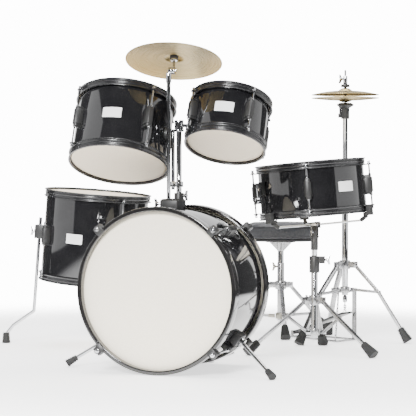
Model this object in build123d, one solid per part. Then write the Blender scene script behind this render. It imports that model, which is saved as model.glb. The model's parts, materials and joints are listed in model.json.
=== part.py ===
from build123d import *
from math import atan2, cos, degrees, radians, sin, sqrt
import os

# Junior five-piece acoustic drum kit with crash cymbal, hi-hat, throne and bass pedal.
# Millimetres. X runs across the stage, Y from the audience to the player, Z up.
# All places below are in the layout frame: the bass drum's front face is at Y 0 over X 0.

# Bass drum: 16 inch head, 10 inch shell, wooden hoops
bass_radius = 203.0
bass_depth = 254.0
bass_wall = 6.0
bass_hoop_radius = 212.5
bass_hoop_width = 34.0
bass_head_recess = 20.0
bass_length = bass_depth + 2 * bass_head_recess
bass_middle = bass_length / 2
bass_lug_length = 64.0
bass_lug_turns = (45, 135, 225, 315)
claw_rod_radius = bass_radius + 16

# Metal-hooped drums: radius, shell depth, lower rim centre, lean from upright, lean azimuth
tom_left = dict(radius=125.0, depth=178.0, hoop=134.0, base=(-151, 133, 528), lean=23.3, toward=93.5,
                lugs=-40)
tom_right = dict(radius=99.5, depth=128.0, hoop=110.0, base=(119.5, 199, 574.6), lean=25.0, toward=88.7,
                 lugs=-43)
floor_tom = dict(radius=149.5, depth=253.5, hoop=157.5, base=(-433.6, 622, 187.3), lean=5.0, toward=-7.6,
                 lugs=-41)
snare = dict(radius=149.5, depth=140.0, hoop=157.5, base=(240, 650, 386), lean=5.1, toward=184.0, lugs=11)
rim_height = 7.0
hoop_reach = 14.0
shell_wall = 5.0
lug_width = 20.0
lug_depth = 24.0
lug_length = 56.0
rod_offset = 15.0
rod_radius = 2.3
rod_head = 6.6

# Pole, post and arms on the bass drum
pole_at = (-6.0, 118.5)
pole_radius = 5.0
pole_bottom = 372.0
pole_top = 768.0
post_at = (11.0, 150.0)
post_radius = 7.0
post_bottom = 380.0
post_top = 646.0
left_rod_x = -12.0
arm_radius = 4.75
left_arm_height = 610.0
right_arm_height = 634.0
running_gap = 0.05
mount_size = (46.0, 70.0)
mount_centre = (-4.0, 145.0)
mount_top = 443.0
plate_height = 619.0
lower_clamp_height = 480.0

# Crash cymbal: 10 inch
crash_radius = 125.0
crash_centre = (4.0, 130.0, 797.0)
crash_lean = 18.9
crash_toward = 99.5

# Snare stand
snare_stand_at = (247.0, 624.0)
snare_tube_radius = 9.5
snare_rod_radius = 8.0
snare_tilt_height = 345.0
snare_leg_turns = (-22, 98, 218)

# Hi-hat: 8 inch cymbals
hihat_at = (252.0, 962.0)
hat_radius = 101.6
hat_lower_edge = 733.0
hat_gap = 12.0
hihat_leg_turns = (0, 120, 240)
hihat_pedal_turn = 153.7

# Throne
throne_at = (10.0, 1100.0)
seat_radius = 126.0
seat_bottom = 299.0
seat_top = 354.0
throne_leg_turns = (-69, 51, 171)

# Tripods: leg pivot, brace pivot, rivet on the leg and foot as (distance from the tube, height)
snare_tripod = dict(pivot=(26, 150), brace=(24, 60), rivet=(82, 104), foot=(196, 16), width=13)
hihat_tripod = dict(pivot=(30, 232), brace=(26, 156), rivet=(104, 150), foot=(188, 16), width=15)
throne_tripod = dict(pivot=(34, 156), brace=(30, 59), rivet=(132, 60), foot=(176, 16), width=12)
leg_thickness = 6.0
strut_thickness = 3.0

# Bass pedal
bass_pedal_heel = (0.0, 520.0, 14.0)
bass_pedal_toe = (0.0, 334.0, 84.0)
beater_axle = (0.0, 318.0, 150.0)
beater_length = 150.0
beater_rest_lean = 40.0
cam_radius = 20.0


# ---- helpers ----

def lean(tilt, azimuth):
    # unit vector that leans from +Z toward the azimuth, both in degrees
    side = sin(radians(tilt))
    return Vector(side * cos(radians(azimuth)), side * sin(radians(azimuth)), cos(radians(tilt)))


def upright_plane(origin, axis):
    # plane whose Z is the axis and whose X stays as near to the kit's X as it can
    across = Vector(1, 0, 0) - axis * axis.dot(Vector(1, 0, 0))
    return Plane(origin=origin, x_dir=across, z_dir=axis)


def drum_plane(drum):
    return upright_plane(drum["base"], lean(drum["lean"], drum["toward"]))


def lathe(points):
    # solid of revolution about Z from (radius, height) corners
    outline = Wire.make_polygon([Vector(r, 0, z) for r, z in points], close=True)
    return revolve(Face(outline), Axis.Z, 360)


def drum_disc(radius, low, high):
    return Pos(0, 0, low) * Cylinder(radius, high - low, align=(Align.CENTER, Align.CENTER, Align.MIN))


def ring(outer, inner, low, high):
    return lathe([(inner, low), (outer, low), (outer, high), (inner, high)])


def rod(start, end, radius, end_radius=None):
    # round bar between two points, tapered if end_radius is given
    first = Vector(*start)
    run = Vector(*end) - first
    plane = Plane(origin=first, z_dir=run)
    low = (Align.CENTER, Align.CENTER, Align.MIN)
    if end_radius is None:
        return plane.location * Cylinder(radius, run.length, align=low)
    return plane.location * Cone(radius, end_radius, run.length, align=low)


def brick(low, high):
    # box between two corners
    size = [b - a for a, b in zip(low, high)]
    middle = [(a + b) / 2 for a, b in zip(low, high)]
    return Pos(*middle) * Box(*size)


def turned(shape, turns):
    return [Rot(0, 0, turn) * shape for turn in turns]


def as_solids(shapes):
    found = []
    for shape in shapes:
        if isinstance(shape, (list, tuple)):
            found += as_solids(shape)
        else:
            found += list(shape.solids())
    return found


def placed(plane, shapes):
    return [plane.location * solid for solid in as_solids([shapes])]


def wing_screw(stem):
    # stem along +X from the origin, with two ears that stand up and down at its end
    ears = Wire.make_polygon([Vector(stem - 2, 0, -4), Vector(stem + 2, 0, -13), Vector(stem + 8, 0, -13),
                              Vector(stem + 5, 0, 0), Vector(stem + 8, 0, 13), Vector(stem + 2, 0, 13),
                              Vector(stem - 2, 0, 4)], close=True)
    flat = extrude(Face(ears), amount=1.5, dir=(0, 1, 0), both=True)
    return rod((0, 0, 0), (stem, 0, 0), 2.8) + rod((stem - 4, 0, 0), (stem + 5, 0, 0), 4.5) + flat


def facing(point, azimuth, tilt=0):
    # location whose X points along the azimuth, raised by the tilt
    return Pos(*point) * Rot(0, 0, azimuth) * Rot(0, -tilt, 0)


# ---- metal-hooped drums ----

def drum_length(drum):
    return drum["depth"] + 2 * rim_height


def hooped_drum(drum, lug_turns, lug_high=lug_length):
    # axis on +Z, lower rim at height 0; returns the drum's pieces in that frame
    radius = drum["radius"]
    length = drum_length(drum)
    edge = rim_height + drum["depth"]
    middle = length / 2
    mirror_plane = Plane.XY.offset(middle)
    shell = ring(radius, radius - shell_wall, rim_height, edge)
    skirt = radius + 2.2
    head = lathe([(0, edge), (radius + 1, edge), (radius + 1, edge - 8), (skirt, edge - 8),
                  (skirt, edge + 1), (0, edge + 1)])
    inner = radius + 2.6
    flange = edge - hoop_reach
    hoop = lathe([(inner, flange), (drum["hoop"], flange), (drum["hoop"], flange + 2),
                  (inner + 2, flange + 2),
                  (inner + 2, length - 2), (inner + 4.6, length - 2), (inner + 4.6, length), (inner,
                                                                                              length)])
    rod_at = radius + rod_offset
    ear = brick((inner + 1, -6.5, flange), (rod_at + 6.5, 6.5, flange + 2.4)) - rod((rod_at, 0, 0),
                                                                                    (rod_at, 0, length), 2.8)
    hoop = hoop + turned(ear, lug_turns)
    lug_box = Pos(radius + lug_depth / 2 - 1, 0, middle) * Box(lug_depth + 2, lug_width, lug_high)
    lug_box = fillet(lug_box.edges().filter_by(Axis.Z).group_by(Axis.X)[-1], 7)
    lug = lug_box - drum_disc(radius + 0.05, 0, length) - rod((rod_at, 0, 0), (rod_at, 0, length),
                                                              rod_radius + 0.1)
    screw_top = flange + 2.4
    screw = rod((rod_at, 0, middle + 8), (rod_at, 0, screw_top + 1), rod_radius)
    screw += rod((rod_at, 0, screw_top), (rod_at, 0, screw_top + 1.4), 5)
    screw += Pos(rod_at, 0, screw_top + 5) * Box(rod_head, rod_head, 8)
    screws = turned(screw, lug_turns)
    return dict(
        shell=[shell],
        heads=[head, mirror(head, mirror_plane)],
        hoops=[hoop, mirror(hoop, mirror_plane)],
        lugs=turned(lug, lug_turns),
        rods=screws + [mirror(each, mirror_plane) for each in screws],
    )


def four_turns(first):
    return [first + 90 * step for step in range(4)]


def drum_nodes(name, drum):
    pieces = hooped_drum(drum, four_turns(drum["lugs"]))
    return {f"{name}_{key}": placed(drum_plane(drum), shapes) for key, shapes in pieces.items()}


def axis_point(drum, along):
    # point on the drum's axis at a distance from the lower rim
    return Vector(*drum["base"]) + lean(drum["lean"], drum["toward"]) * along


def height_on_axis(drum, height):
    return axis_point(drum, (height - drum["base"][2]) / cos(radians(drum["lean"])))


# ---- bass drum ----

bass_plane = Plane(origin=(0, 0, bass_hoop_radius), x_dir=(1, 0, 0), z_dir=(0, 1, 0))


def bass_nodes():
    mirror_plane = Plane.XY.offset(bass_middle)
    first = bass_head_recess
    last = bass_head_recess + bass_depth
    hoop_inner = bass_radius - 2
    skirt = bass_radius + 1.6
    shell = ring(bass_radius, bass_radius - bass_wall, first, last)
    head = lathe([(0, first - 1), (skirt, first - 1), (skirt, first + 10), (skirt - 1.3, first + 10),
                  (skirt - 1.3, first), (0, first)])
    hoop = lathe([(hoop_inner, 0), (bass_hoop_radius, 0), (bass_hoop_radius, bass_hoop_width),
                  (skirt + 0.3, bass_hoop_width), (skirt + 0.3, first - 1.2), (hoop_inner, first - 1.2)])
    lug = brick((bass_radius - 4, -11, bass_middle - bass_lug_length / 2),
                (bass_radius + 22, 11, bass_middle + bass_lug_length / 2))
    lug = fillet(lug.edges().filter_by(Axis.Z).group_by(Axis.X)[-1], 6)
    lug = lug - drum_disc(bass_radius + 0.05, 0, bass_length)
    lug = lug - rod((claw_rod_radius, 0, 0), (claw_rod_radius, 0, bass_length), 2.6)
    claw = brick((bass_hoop_radius + 0.3, -11, -2.6), (claw_rod_radius + 8, 11, 22))
    claw += brick((hoop_inner + 1, -11, -2.6), (claw_rod_radius, 11, -0.3))
    claw = claw - rod((claw_rod_radius, 0, -9), (claw_rod_radius, 0, 40), 2.8)
    screw = rod((claw_rod_radius, 0, -3.5), (claw_rod_radius, 0, bass_middle - 12), 2.5)
    screw += rod((claw_rod_radius, 0, -10), (claw_rod_radius, 0, -2.7), 5)
    front = turned(claw, bass_lug_turns) + turned(screw, bass_lug_turns)
    pieces = dict(
        bass_shell=[shell],
        bass_heads=[head, mirror(head, mirror_plane)],
        bass_hoops=[hoop, mirror(hoop, mirror_plane)],
        bass_lugs=turned(lug, bass_lug_turns) + front + [mirror(each, mirror_plane) for each in front],
    )
    nodes = {name: placed(bass_plane, shapes) for name, shapes in pieces.items()}
    well = rod((*pole_at, 360), (*pole_at, 460), pole_radius + 0.6)
    well += rod((*post_at, 360), (*post_at, 460), post_radius + 0.6)
    nodes["bass_shell"] = [nodes["bass_shell"][0] - well]
    return nodes


# Spurs: side of the drum, angle below level and the tip's centre on the floor
spur_angle = 37.0
spur_seat = bass_radius + 20.3
spur_collar = 11.0
spur_tip_radius = 10.0
spurs = dict(left=dict(turn=180 - spur_angle, tip=(-283, 97)), right=dict(turn=spur_angle, tip=(306, 7)))


def spur_normal(side):
    turn = radians(spurs[side]["turn"])
    return Vector(cos(turn), 0, -sin(turn))


def spur_root(side, out):
    return Vector(0, bass_middle + 3, bass_hoop_radius) + spur_normal(side) * out


def spur_piece(side):
    root = spur_root(side, spur_seat + spur_collar / 2)
    tip = Vector(*spurs[side]["tip"], spur_tip_radius * 0.95)
    run = (tip - root).normalized()
    collar = rod(spur_root(side, spur_seat), spur_root(side, spur_seat + spur_collar), 12)
    bar = rod(root, tip - run * 8, 4.75)
    rubber = rod(tip - run * 30, tip, 8, spur_tip_radius)
    rubber = rubber - rod(tip - run * 40, tip - run * 8, 4.8)
    return [collar + bar, rubber]


def bracket_nodes():
    low = bass_middle - 19
    seat = brick((bass_radius - 6, -16, low), (bass_radius + 20, 16, low + 44))
    seat = seat - drum_disc(bass_radius + 0.05, 0, bass_length)
    seats = placed(bass_plane, turned(seat, [spurs[side]["turn"] for side in spurs]))
    half_x, half_y = mount_size[0] / 2, mount_size[1] / 2
    body = brick((mount_centre[0] - half_x, mount_centre[1] - half_y, 396),
                 (mount_centre[0] + half_x, mount_centre[1] + half_y, mount_top))
    body = chamfer(body.faces().sort_by(Axis.Z)[-1].edges(), 5)
    body += rod((*post_at, 396), (*post_at, mount_top + 15), 12.5)
    body = body - rod((0, 0, bass_hoop_radius), (0, bass_length, bass_hoop_radius), bass_radius + 0.1)
    body = body - rod((*pole_at, 380), (*pole_at, 470), pole_radius + running_gap)
    body = body - rod((*post_at, 380), (*post_at, 470), post_radius + running_gap)
    screws = [facing((mount_centre[0] - half_x + 0.1, pole_at[1], mount_top - 13), 180) * wing_screw(11),
              facing((post_at[0] + 11.6, post_at[1] - 4, mount_top + 8), -20) * wing_screw(9)]
    return dict(bass_brackets=seats + [body] + screws)


# ---- tom holder and crash cymbal ----

left_pivot = height_on_axis(tom_left, left_arm_height)
left_rod_at = (left_rod_x, left_pivot.Y)
right_pivot = height_on_axis(tom_right, right_arm_height)
shell_side_left = left_pivot.X + tom_left["radius"]
shell_side_right = right_pivot.X - tom_right["radius"]


def tom_bracket(drum, pivot, side):
    # round pad on the shell, bored for the arm that the tom tilts on
    start = pivot.X + side * (drum["radius"] - 6)
    end = pivot.X + side * (drum["radius"] + 6)
    pad = rod((start, pivot.Y, pivot.Z), (end, pivot.Y, pivot.Z), 21)
    top = axis_point(drum, drum_length(drum))
    pad = pad - rod(drum["base"], top, drum["radius"] + 0.05)
    return pad - rod((start - 40, pivot.Y, pivot.Z), (start + 40, pivot.Y, pivot.Z),
                     arm_radius + running_gap)


def tom_nodes():
    nodes = {}
    for name, drum, pivot, side in (("tom_left", tom_left, left_pivot, 1),
                                    ("tom_right", tom_right, right_pivot, -1)):
        pieces = drum_nodes(name, drum)
        wall = pivot.X + side * drum["radius"]
        hole = rod((wall - 12, pivot.Y, pivot.Z), (wall + 12, pivot.Y, pivot.Z), arm_radius + 0.4)
        pieces[f"{name}_shell"] = [pieces[f"{name}_shell"][0] - hole]
        pieces[f"{name}_lugs"].append(tom_bracket(drum, pivot, side))
        nodes.update(pieces)
    return nodes


def post_clamp(height, thickness, sleeve):
    # links the post to the left arm's upright, which turns in its bore
    low, high = height - thickness / 2, height + thickness / 2
    span = Vector(post_at[0] - left_rod_at[0], post_at[1] - left_rod_at[1], 0)
    clamp = rod((*post_at, low), (*post_at, high), sleeve)
    clamp += rod((*left_rod_at, low), (*left_rod_at, high), 8.5)
    link = Plane(origin=(*left_rod_at, height), x_dir=span, z_dir=(0, 0, 1))
    clamp += link.location * Pos(span.length / 2, 0, 0) * Box(span.length, 13, thickness)
    return clamp - rod((*left_rod_at, low - 1), (*left_rod_at, high + 1), arm_radius + running_gap)


def holder_nodes():
    post = rod((*post_at, post_bottom), (*post_at, post_top), post_radius)
    post += post_clamp(plate_height, 5, 13) + post_clamp(lower_clamp_height, 14, 11)
    screw = facing((post_at[0] + 3.5, post_at[1] - 10.2, lower_clamp_height), -72) * wing_screw(9)
    inside_left = shell_side_left - 20
    left_arm = rod((*left_rod_at, 466), (*left_rod_at, plate_height + 4), arm_radius)
    left_arm += rod((*left_rod_at, left_arm_height), (inside_left, left_rod_at[1], left_arm_height),
                    arm_radius)
    collar = rod((*post_at, right_arm_height - 12), (*post_at, right_arm_height + 12), 11.5)
    turn_at = (shell_side_right - 17, right_pivot.Y, right_arm_height)
    right_arm = collar + rod((post_at[0] - 3, post_at[1], right_arm_height), turn_at, arm_radius)
    right_arm += Pos(*turn_at) * Sphere(arm_radius)
    right_arm += rod(turn_at, (shell_side_right + 20, right_pivot.Y, right_arm_height), arm_radius)
    right_arm = right_arm - rod((*post_at, 600), (*post_at, 680), post_radius + running_gap)
    return dict(tom_post=[post, screw], tom_arm_left=[left_arm], tom_arm_right=[right_arm])


def cymbal(radius, bell_radius, bell_height, bow, thickness, hole):
    # edge at height 0, bell up, with a smooth bow between the edge and the bell
    def outline(lift):
        points = []
        for step in range(7):
            part = step / 6
            points.append(Vector(radius + (bell_radius - radius) * part, 0,
                                 lift + bow * sin(part * radians(90))))
        return points
    lower = outline(0)
    upper = outline(thickness)
    crown = bow + bell_height
    under_bell = ThreePointArc(lower[-1], Vector(bell_radius * 0.72, 0, crown - 2.4), Vector(hole, 0, crown))
    over_bell = ThreePointArc(upper[-1], Vector(bell_radius * 0.72 + 0.6, 0, crown - 2.4 + thickness),
                              Vector(hole, 0, crown + thickness))
    edges = [Line(lower[0], upper[0]), Spline(*lower), Spline(*upper), under_bell, over_bell,
             Line(under_bell @ 1, over_bell @ 1)]
    return revolve(Face(Wire(edges)), Axis.Z, 360)


crash_axis = lean(crash_lean, crash_toward)
crash_plane = upright_plane(crash_centre, crash_axis)
tilter_pivot = Vector(*crash_centre) - crash_axis * 26
crash_bow = 9.0
crash_bell = 8.0
crash_crown = crash_bow + crash_bell


def crash_nodes():
    pole = rod((*pole_at, pole_bottom), (*pole_at, pole_top - 12), pole_radius)
    fork = rod((*pole_at, pole_top - 26), (*pole_at, pole_top - 2), 7)
    ratchet = rod((tilter_pivot.X - 11.5, tilter_pivot.Y, tilter_pivot.Z),
                  (tilter_pivot.X - 3.2, tilter_pivot.Y, tilter_pivot.Z), 9)
    pin = rod((tilter_pivot.X - 5, tilter_pivot.Y, tilter_pivot.Z),
              (tilter_pivot.X + 9, tilter_pivot.Y, tilter_pivot.Z), 3)
    bridge = brick((pole_at[0] - 4, pole_at[1] - 5, pole_top - 14),
                   (pole_at[0] + 4, tilter_pivot.Y + 4, pole_top))
    pole_body = pole + fork + ratchet + pin + bridge
    upper = rod((tilter_pivot.X - 2.8, tilter_pivot.Y, tilter_pivot.Z),
                (tilter_pivot.X + 5, tilter_pivot.Y, tilter_pivot.Z), 9)
    stem_start = tilter_pivot + Vector(1.2, 0, 0)
    upper += rod(stem_start, Vector(*crash_centre) + crash_axis * (crash_crown + 26), 3)
    seat_low = Vector(*crash_centre) + crash_axis * (crash_crown - 15)
    upper += rod(seat_low, seat_low + crash_axis * 5, 9)
    upper = upper - rod((tilter_pivot.X - 9, tilter_pivot.Y, tilter_pivot.Z),
                        (tilter_pivot.X + 12, tilter_pivot.Y, tilter_pivot.Z), 3.05)
    lower_felt = placed(crash_plane, ring(11, 3.4, crash_crown - 9.7, crash_crown - 0.3))
    upper_felt = placed(crash_plane, ring(11, 3.4, crash_crown + 1.5, crash_crown + 8.5))
    nut = placed(crash_plane, ring(6, 3.05, crash_crown + 9, crash_crown + 17))
    wing = Pos(0, 0, crash_crown + 13) * Rot(0, -90, 0) * wing_screw(2)
    wing = wing - drum_disc(6.1, 0, 60)
    plate = cymbal(crash_radius, 24, crash_bell, crash_bow, 1.2, 4.5)
    return dict(crash_pole=[pole_body], crash_tilter=[upper] + lower_felt + upper_felt + nut,
                crash_cymbal=placed(crash_plane, plate))


# ---- floor tom legs ----

floor_leg_turns = (187.4, 307.4, 67.4)
leg_rod_radius = 4.75
leg_rod_offset = floor_tom["radius"] + 21
floor_leg_axis = lean(floor_tom["lean"], floor_tom["toward"])


def radial(turn, reach):
    return Vector(cos(radians(turn)) * reach, sin(radians(turn)) * reach, 0)


def floor_leg(turn):
    plane = drum_plane(floor_tom)
    side = plane.from_local_coords(radial(turn, leg_rod_offset)) - Vector(*floor_tom["base"])
    root = Vector(*floor_tom["base"]) + side
    top = root + floor_leg_axis * 176
    knee = root - floor_leg_axis * ((root.Z - 98) / floor_leg_axis.Z)
    out = radial(turn, 1)
    ankle = knee + out * 64 + Vector(0, 0, -44)
    heel = ankle + out * 20 + Vector(0, 0, -24)
    foot = Vector(heel.X + out.X * 3, heel.Y + out.Y * 3, 0)
    bar = rod(top, knee, leg_rod_radius) + Pos(*knee) * Sphere(leg_rod_radius)
    bar += rod(knee, ankle, leg_rod_radius) + Pos(*ankle) * Sphere(leg_rod_radius)
    bar += rod(ankle, heel, leg_rod_radius) + Pos(*heel) * Sphere(leg_rod_radius)
    bar += rod(heel, foot + Vector(0, 0, 10), leg_rod_radius)
    rubber = rod(foot, foot + Vector(0, 0, 30), 13, 10)
    rubber = rubber - bar
    return [bar, rubber]


def floor_tom_nodes():
    nodes = drum_nodes("floor_tom", floor_tom)
    middle = drum_length(floor_tom) / 2
    radius = floor_tom["radius"]
    plate = brick((radius - 6, -17, middle - 31), (radius + 5, 17, middle + 31))
    plate += brick((radius + 4, -11, middle - 14), (leg_rod_offset - 8, 11, middle + 14))
    plate += brick((leg_rod_offset - 13, -13, middle - 20), (leg_rod_offset + 12, 13, middle + 20))
    plate = plate - drum_disc(radius + 0.05, 0, 400)
    plate = plate - rod((leg_rod_offset, 0, 0), (leg_rod_offset, 0, 300), leg_rod_radius + running_gap)
    screw = Pos(leg_rod_offset + 11.9, 0, middle) * wing_screw(8)
    for turn in floor_leg_turns:
        nodes["floor_tom_lugs"] += placed(drum_plane(floor_tom),
                                          turned(plate, [turn]) + turned(screw, [turn]))
    for number, turn in enumerate(floor_leg_turns, start=1):
        nodes[f"floor_tom_leg_{number}"] = floor_leg(turn)
    return nodes


# ---- tripods ----

def flat_bar(start, end, width, thickness, side=0.0):
    # flat bar in the X-Z plane between two (distance, height) points, rounded past both ends
    first = Vector(start[0], side, start[1])
    run = Vector(end[0], side, end[1]) - first
    plane = Plane(origin=first, x_dir=run, z_dir=(0, 1, 0))
    return plane.location * Pos(run.length / 2, 0, 0) * Box(run.length + width, width, thickness)


def tripod_leg(spec):
    # U-shaped leg seen from its side, bent at the rivet, with a ribbed rubber foot
    width = spec["width"]
    bends = [spec["pivot"], spec["rivet"], spec["foot"]]
    leg = None
    for start, end in zip(bends, bends[1:]):
        reach = sqrt((end[0] - start[0]) ** 2 + (end[1] - start[1]) ** 2)
        plane = Plane(origin=(start[0], 0, start[1]), x_dir=(end[0] - start[0], 0, end[1] - start[1]),
                      z_dir=(0, 1, 0))
        piece = plane.location * Pos(reach / 2, 0, 0) * Box(reach + 8, leg_thickness + 2, width)
        leg = piece if leg is None else leg + piece
    hole = rod((spec["pivot"][0], -30, spec["pivot"][1]), (spec["pivot"][0], 30, spec["pivot"][1]), 2.55)
    return leg - hole - brick((-50, -50, -50), (400, 50, 1))


def tripod_foot(spec):
    start, end = spec["rivet"], spec["foot"]
    run = Vector(end[0] - start[0], 0, end[1] - start[1]).normalized()
    tip = Vector(end[0], 0, end[1]) + run * 12
    rubber = rod(tip - run * 44, tip, 10.5, 16)
    rubber = rubber - brick((-50, -60, -60), (400, 60, 0))
    return rubber - tripod_leg(spec)


def tripod_strut(spec, side):
    # straight strut beside the leg from the sliding collar to the leg's rivet
    strut = flat_bar(spec["brace"], spec["rivet"], 9, strut_thickness, side)
    return strut - rod((spec["brace"][0], -30, spec["brace"][1]), (spec["brace"][0], 30, spec["brace"][1]),
                       2.05)


def leg_collar(spec, turns, bore):
    # collar with a pair of ears and a pin for each leg
    reach, height = spec["pivot"]
    half = spec["width"] / 2 + 0.4
    body = ring(bore + 6, bore, height - 13, height + 13)
    for turn in turns:
        ears = brick((bore + 3, -half - 3, height - 9), (reach + 7, -half, height + 9))
        ears += brick((bore + 3, half, height - 9), (reach + 7, half + 3, height + 9))
        ears += rod((reach, -half - 4, height), (reach, half + 4, height), 2.5)
        body += Rot(0, 0, turn) * ears
    return body


def strut_collar(spec, turns, bore, side):
    # collar with one ear and a pin for each strut
    reach, height = spec["brace"]
    near = side + strut_thickness / 2 + 0.3
    body = ring(bore + 5, bore, height - 9, height + 9)
    for turn in turns:
        ear = brick((bore + 3, near, height - 6), (reach + 6, near + 3, height + 6))
        ear += rod((reach, near + 3, height), (reach, near - strut_thickness - 2, height), 2)
        body += Rot(0, 0, turn) * ear
    return body


def strut_side(spec):
    return spec["width"] / 2 + 2.4 + strut_thickness / 2


def at_place(place, shapes):
    return placed(Plane(origin=(*place, 0)), shapes)


def rigid_tripod(spec, turns, tube_radius):
    side = strut_side(spec)
    parts = [leg_collar(spec, turns, tube_radius + 0.05),
             strut_collar(spec, turns, tube_radius + 0.05, side)]
    for turn in turns:
        parts += turned(tripod_leg(spec), [turn]) + turned(tripod_foot(spec), [turn])
        parts += turned(tripod_strut(spec, side), [turn])
    return parts


def height_clamp(radius, low, high, turn):
    # plastic sleeve with a split ear and a wing bolt
    sleeve = ring(radius + 5, radius + running_gap, low, high)
    ear = brick((radius + 2, -7, high - 20), (radius + 20, 7, high))
    ear = ear - rod((0, 0, low - 5), (0, 0, high + 5), radius + 3)
    screw = Pos(radius + 19.8, 0, high - 10) * wing_screw(8)
    return [Rot(0, 0, turn) * (sleeve + ear), Rot(0, 0, turn) * screw]


# ---- snare drum, its stand and basket ----

snare_arm_turns = (-4, 116, 236)
throw_turn = 220.0


def snare_drum_nodes():
    nodes = drum_nodes("snare", snare)
    plane = drum_plane(snare)
    radius = snare["radius"]
    wire_band = brick((-135, -22, 3.2), (135, 22, 4.8))
    nodes["snare_heads"] += placed(plane, wire_band)
    middle = drum_length(snare) / 2
    housing = brick((radius - 5, -13, middle - 6), (radius + 9, 13, middle + 32)) - drum_disc(radius + 0.05,
                                                                                              0, 300)
    pin = rod((radius + 15, -12, middle + 24), (radius + 15, 12, middle + 24), 2)
    cheeks = brick((radius + 8, -13, middle + 16), (radius + 19, -9, middle + 30))
    cheeks += brick((radius + 8, 9, middle + 16), (radius + 19, 13, middle + 30))
    butt = brick((radius - 5, -15, middle - 16), (radius + 8, 15, middle + 16)) - drum_disc(radius + 0.05, 0,
                                                                                            300)
    nodes["snare_lugs"] += placed(plane,
                                  turned(housing + pin + cheeks, [throw_turn]) + turned(butt,
                                                                                        [throw_turn - 180]))
    lever = brick((radius + 11, -8.6, middle - 16), (radius + 18, 8.6, middle + 27.5))
    lever += rod((radius + 14, 0, middle - 20), (radius + 25, 0, middle - 20), 9)
    lever = lever - rod((radius + 15, -14, middle + 24), (radius + 15, 14, middle + 24), 2.05)
    nodes["snare_throw_off"] = placed(plane, turned(lever, [throw_turn]))
    return nodes


def basket_arm():
    claw = brick((snare["hoop"] + 0.4, -12, -9), (snare["hoop"] + 13, 12, 20))
    claw += brick((snare["hoop"] - 10, -12, -9), (snare["hoop"] + 2, 12, -0.4))
    arm = rod((8, 0, -24), (136, 0, -22), 3)
    arm += rod((136, 0, -22), (snare["hoop"] - 2, 0, -8.5), 5.5)
    return claw + arm


def snare_stand_nodes():
    spec = snare_tripod
    x, y = snare_stand_at
    side = strut_side(spec)
    tube = ring(snare_tube_radius, snare_rod_radius + running_gap, 42, 262)
    foot_collar = strut_collar(spec, snare_leg_turns, snare_tube_radius, side)
    clamp = height_clamp(snare_tube_radius, 228, 274, 10)
    nodes = dict(snare_stand_tube=at_place(snare_stand_at, [tube + foot_collar] + clamp))
    neck = rod((0, 0, 110), (0, 0, 318), snare_rod_radius)
    neck += rod((0, 0, 292), (0, 0, snare_tilt_height - 16), 10.5)
    neck += brick((-9, -10.2, snare_tilt_height - 20), (9, -7.5, snare_tilt_height + 10))
    neck += brick((-9, 7.5, snare_tilt_height - 20), (9, 10.2, snare_tilt_height + 10))
    neck += rod((0, -14, snare_tilt_height), (0, 10.6, snare_tilt_height), 3)
    screw = facing((0, -14, snare_tilt_height), -90) * wing_screw(9)
    nodes["snare_stand_rod"] = at_place(snare_stand_at, [neck, screw])
    plane = drum_plane(snare)
    hub = placed(plane, drum_disc(15, -34, -16))[0]
    pivot_block = Pos(x, y, snare_tilt_height + 4) * Box(17, 14.4, 24)
    pivot_block = pivot_block - rod((x, y - 20, snare_tilt_height), (x, y + 20, snare_tilt_height), 3.05)
    frame = hub + pivot_block + brick((x - 7, y - 7, snare_tilt_height + 14.5),
                                      (x + 7, y + 30, snare_tilt_height + 21))
    for arm in placed(plane, turned(basket_arm(), snare_arm_turns)):
        frame += arm
    nodes["snare_basket"] = [frame]
    collar = leg_collar(spec, snare_leg_turns, snare_tube_radius + running_gap)
    collar_screw = Rot(0, 0, 158) * Pos(snare_tube_radius + 6, 0, spec["pivot"][1]) * wing_screw(8)
    nodes["snare_stand_collar"] = at_place(snare_stand_at, [collar, collar_screw])
    for number, turn in enumerate(snare_leg_turns, start=1):
        leg = [tripod_leg(spec), tripod_foot(spec)]
        nodes[f"snare_stand_leg_{number}"] = at_place(snare_stand_at,
                                                      turned(leg[0], [turn]) + turned(leg[1], [turn]))
        nodes[f"snare_stand_strut_{number}"] = at_place(snare_stand_at,
                                                        turned(tripod_strut(spec, side), [turn]))
    return nodes


# ---- hi-hat ----

pedal_length = 188.0
hat_heel_height = 16.0
hat_toe_height = 84.0
pedal_frame_half = 44.0


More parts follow.
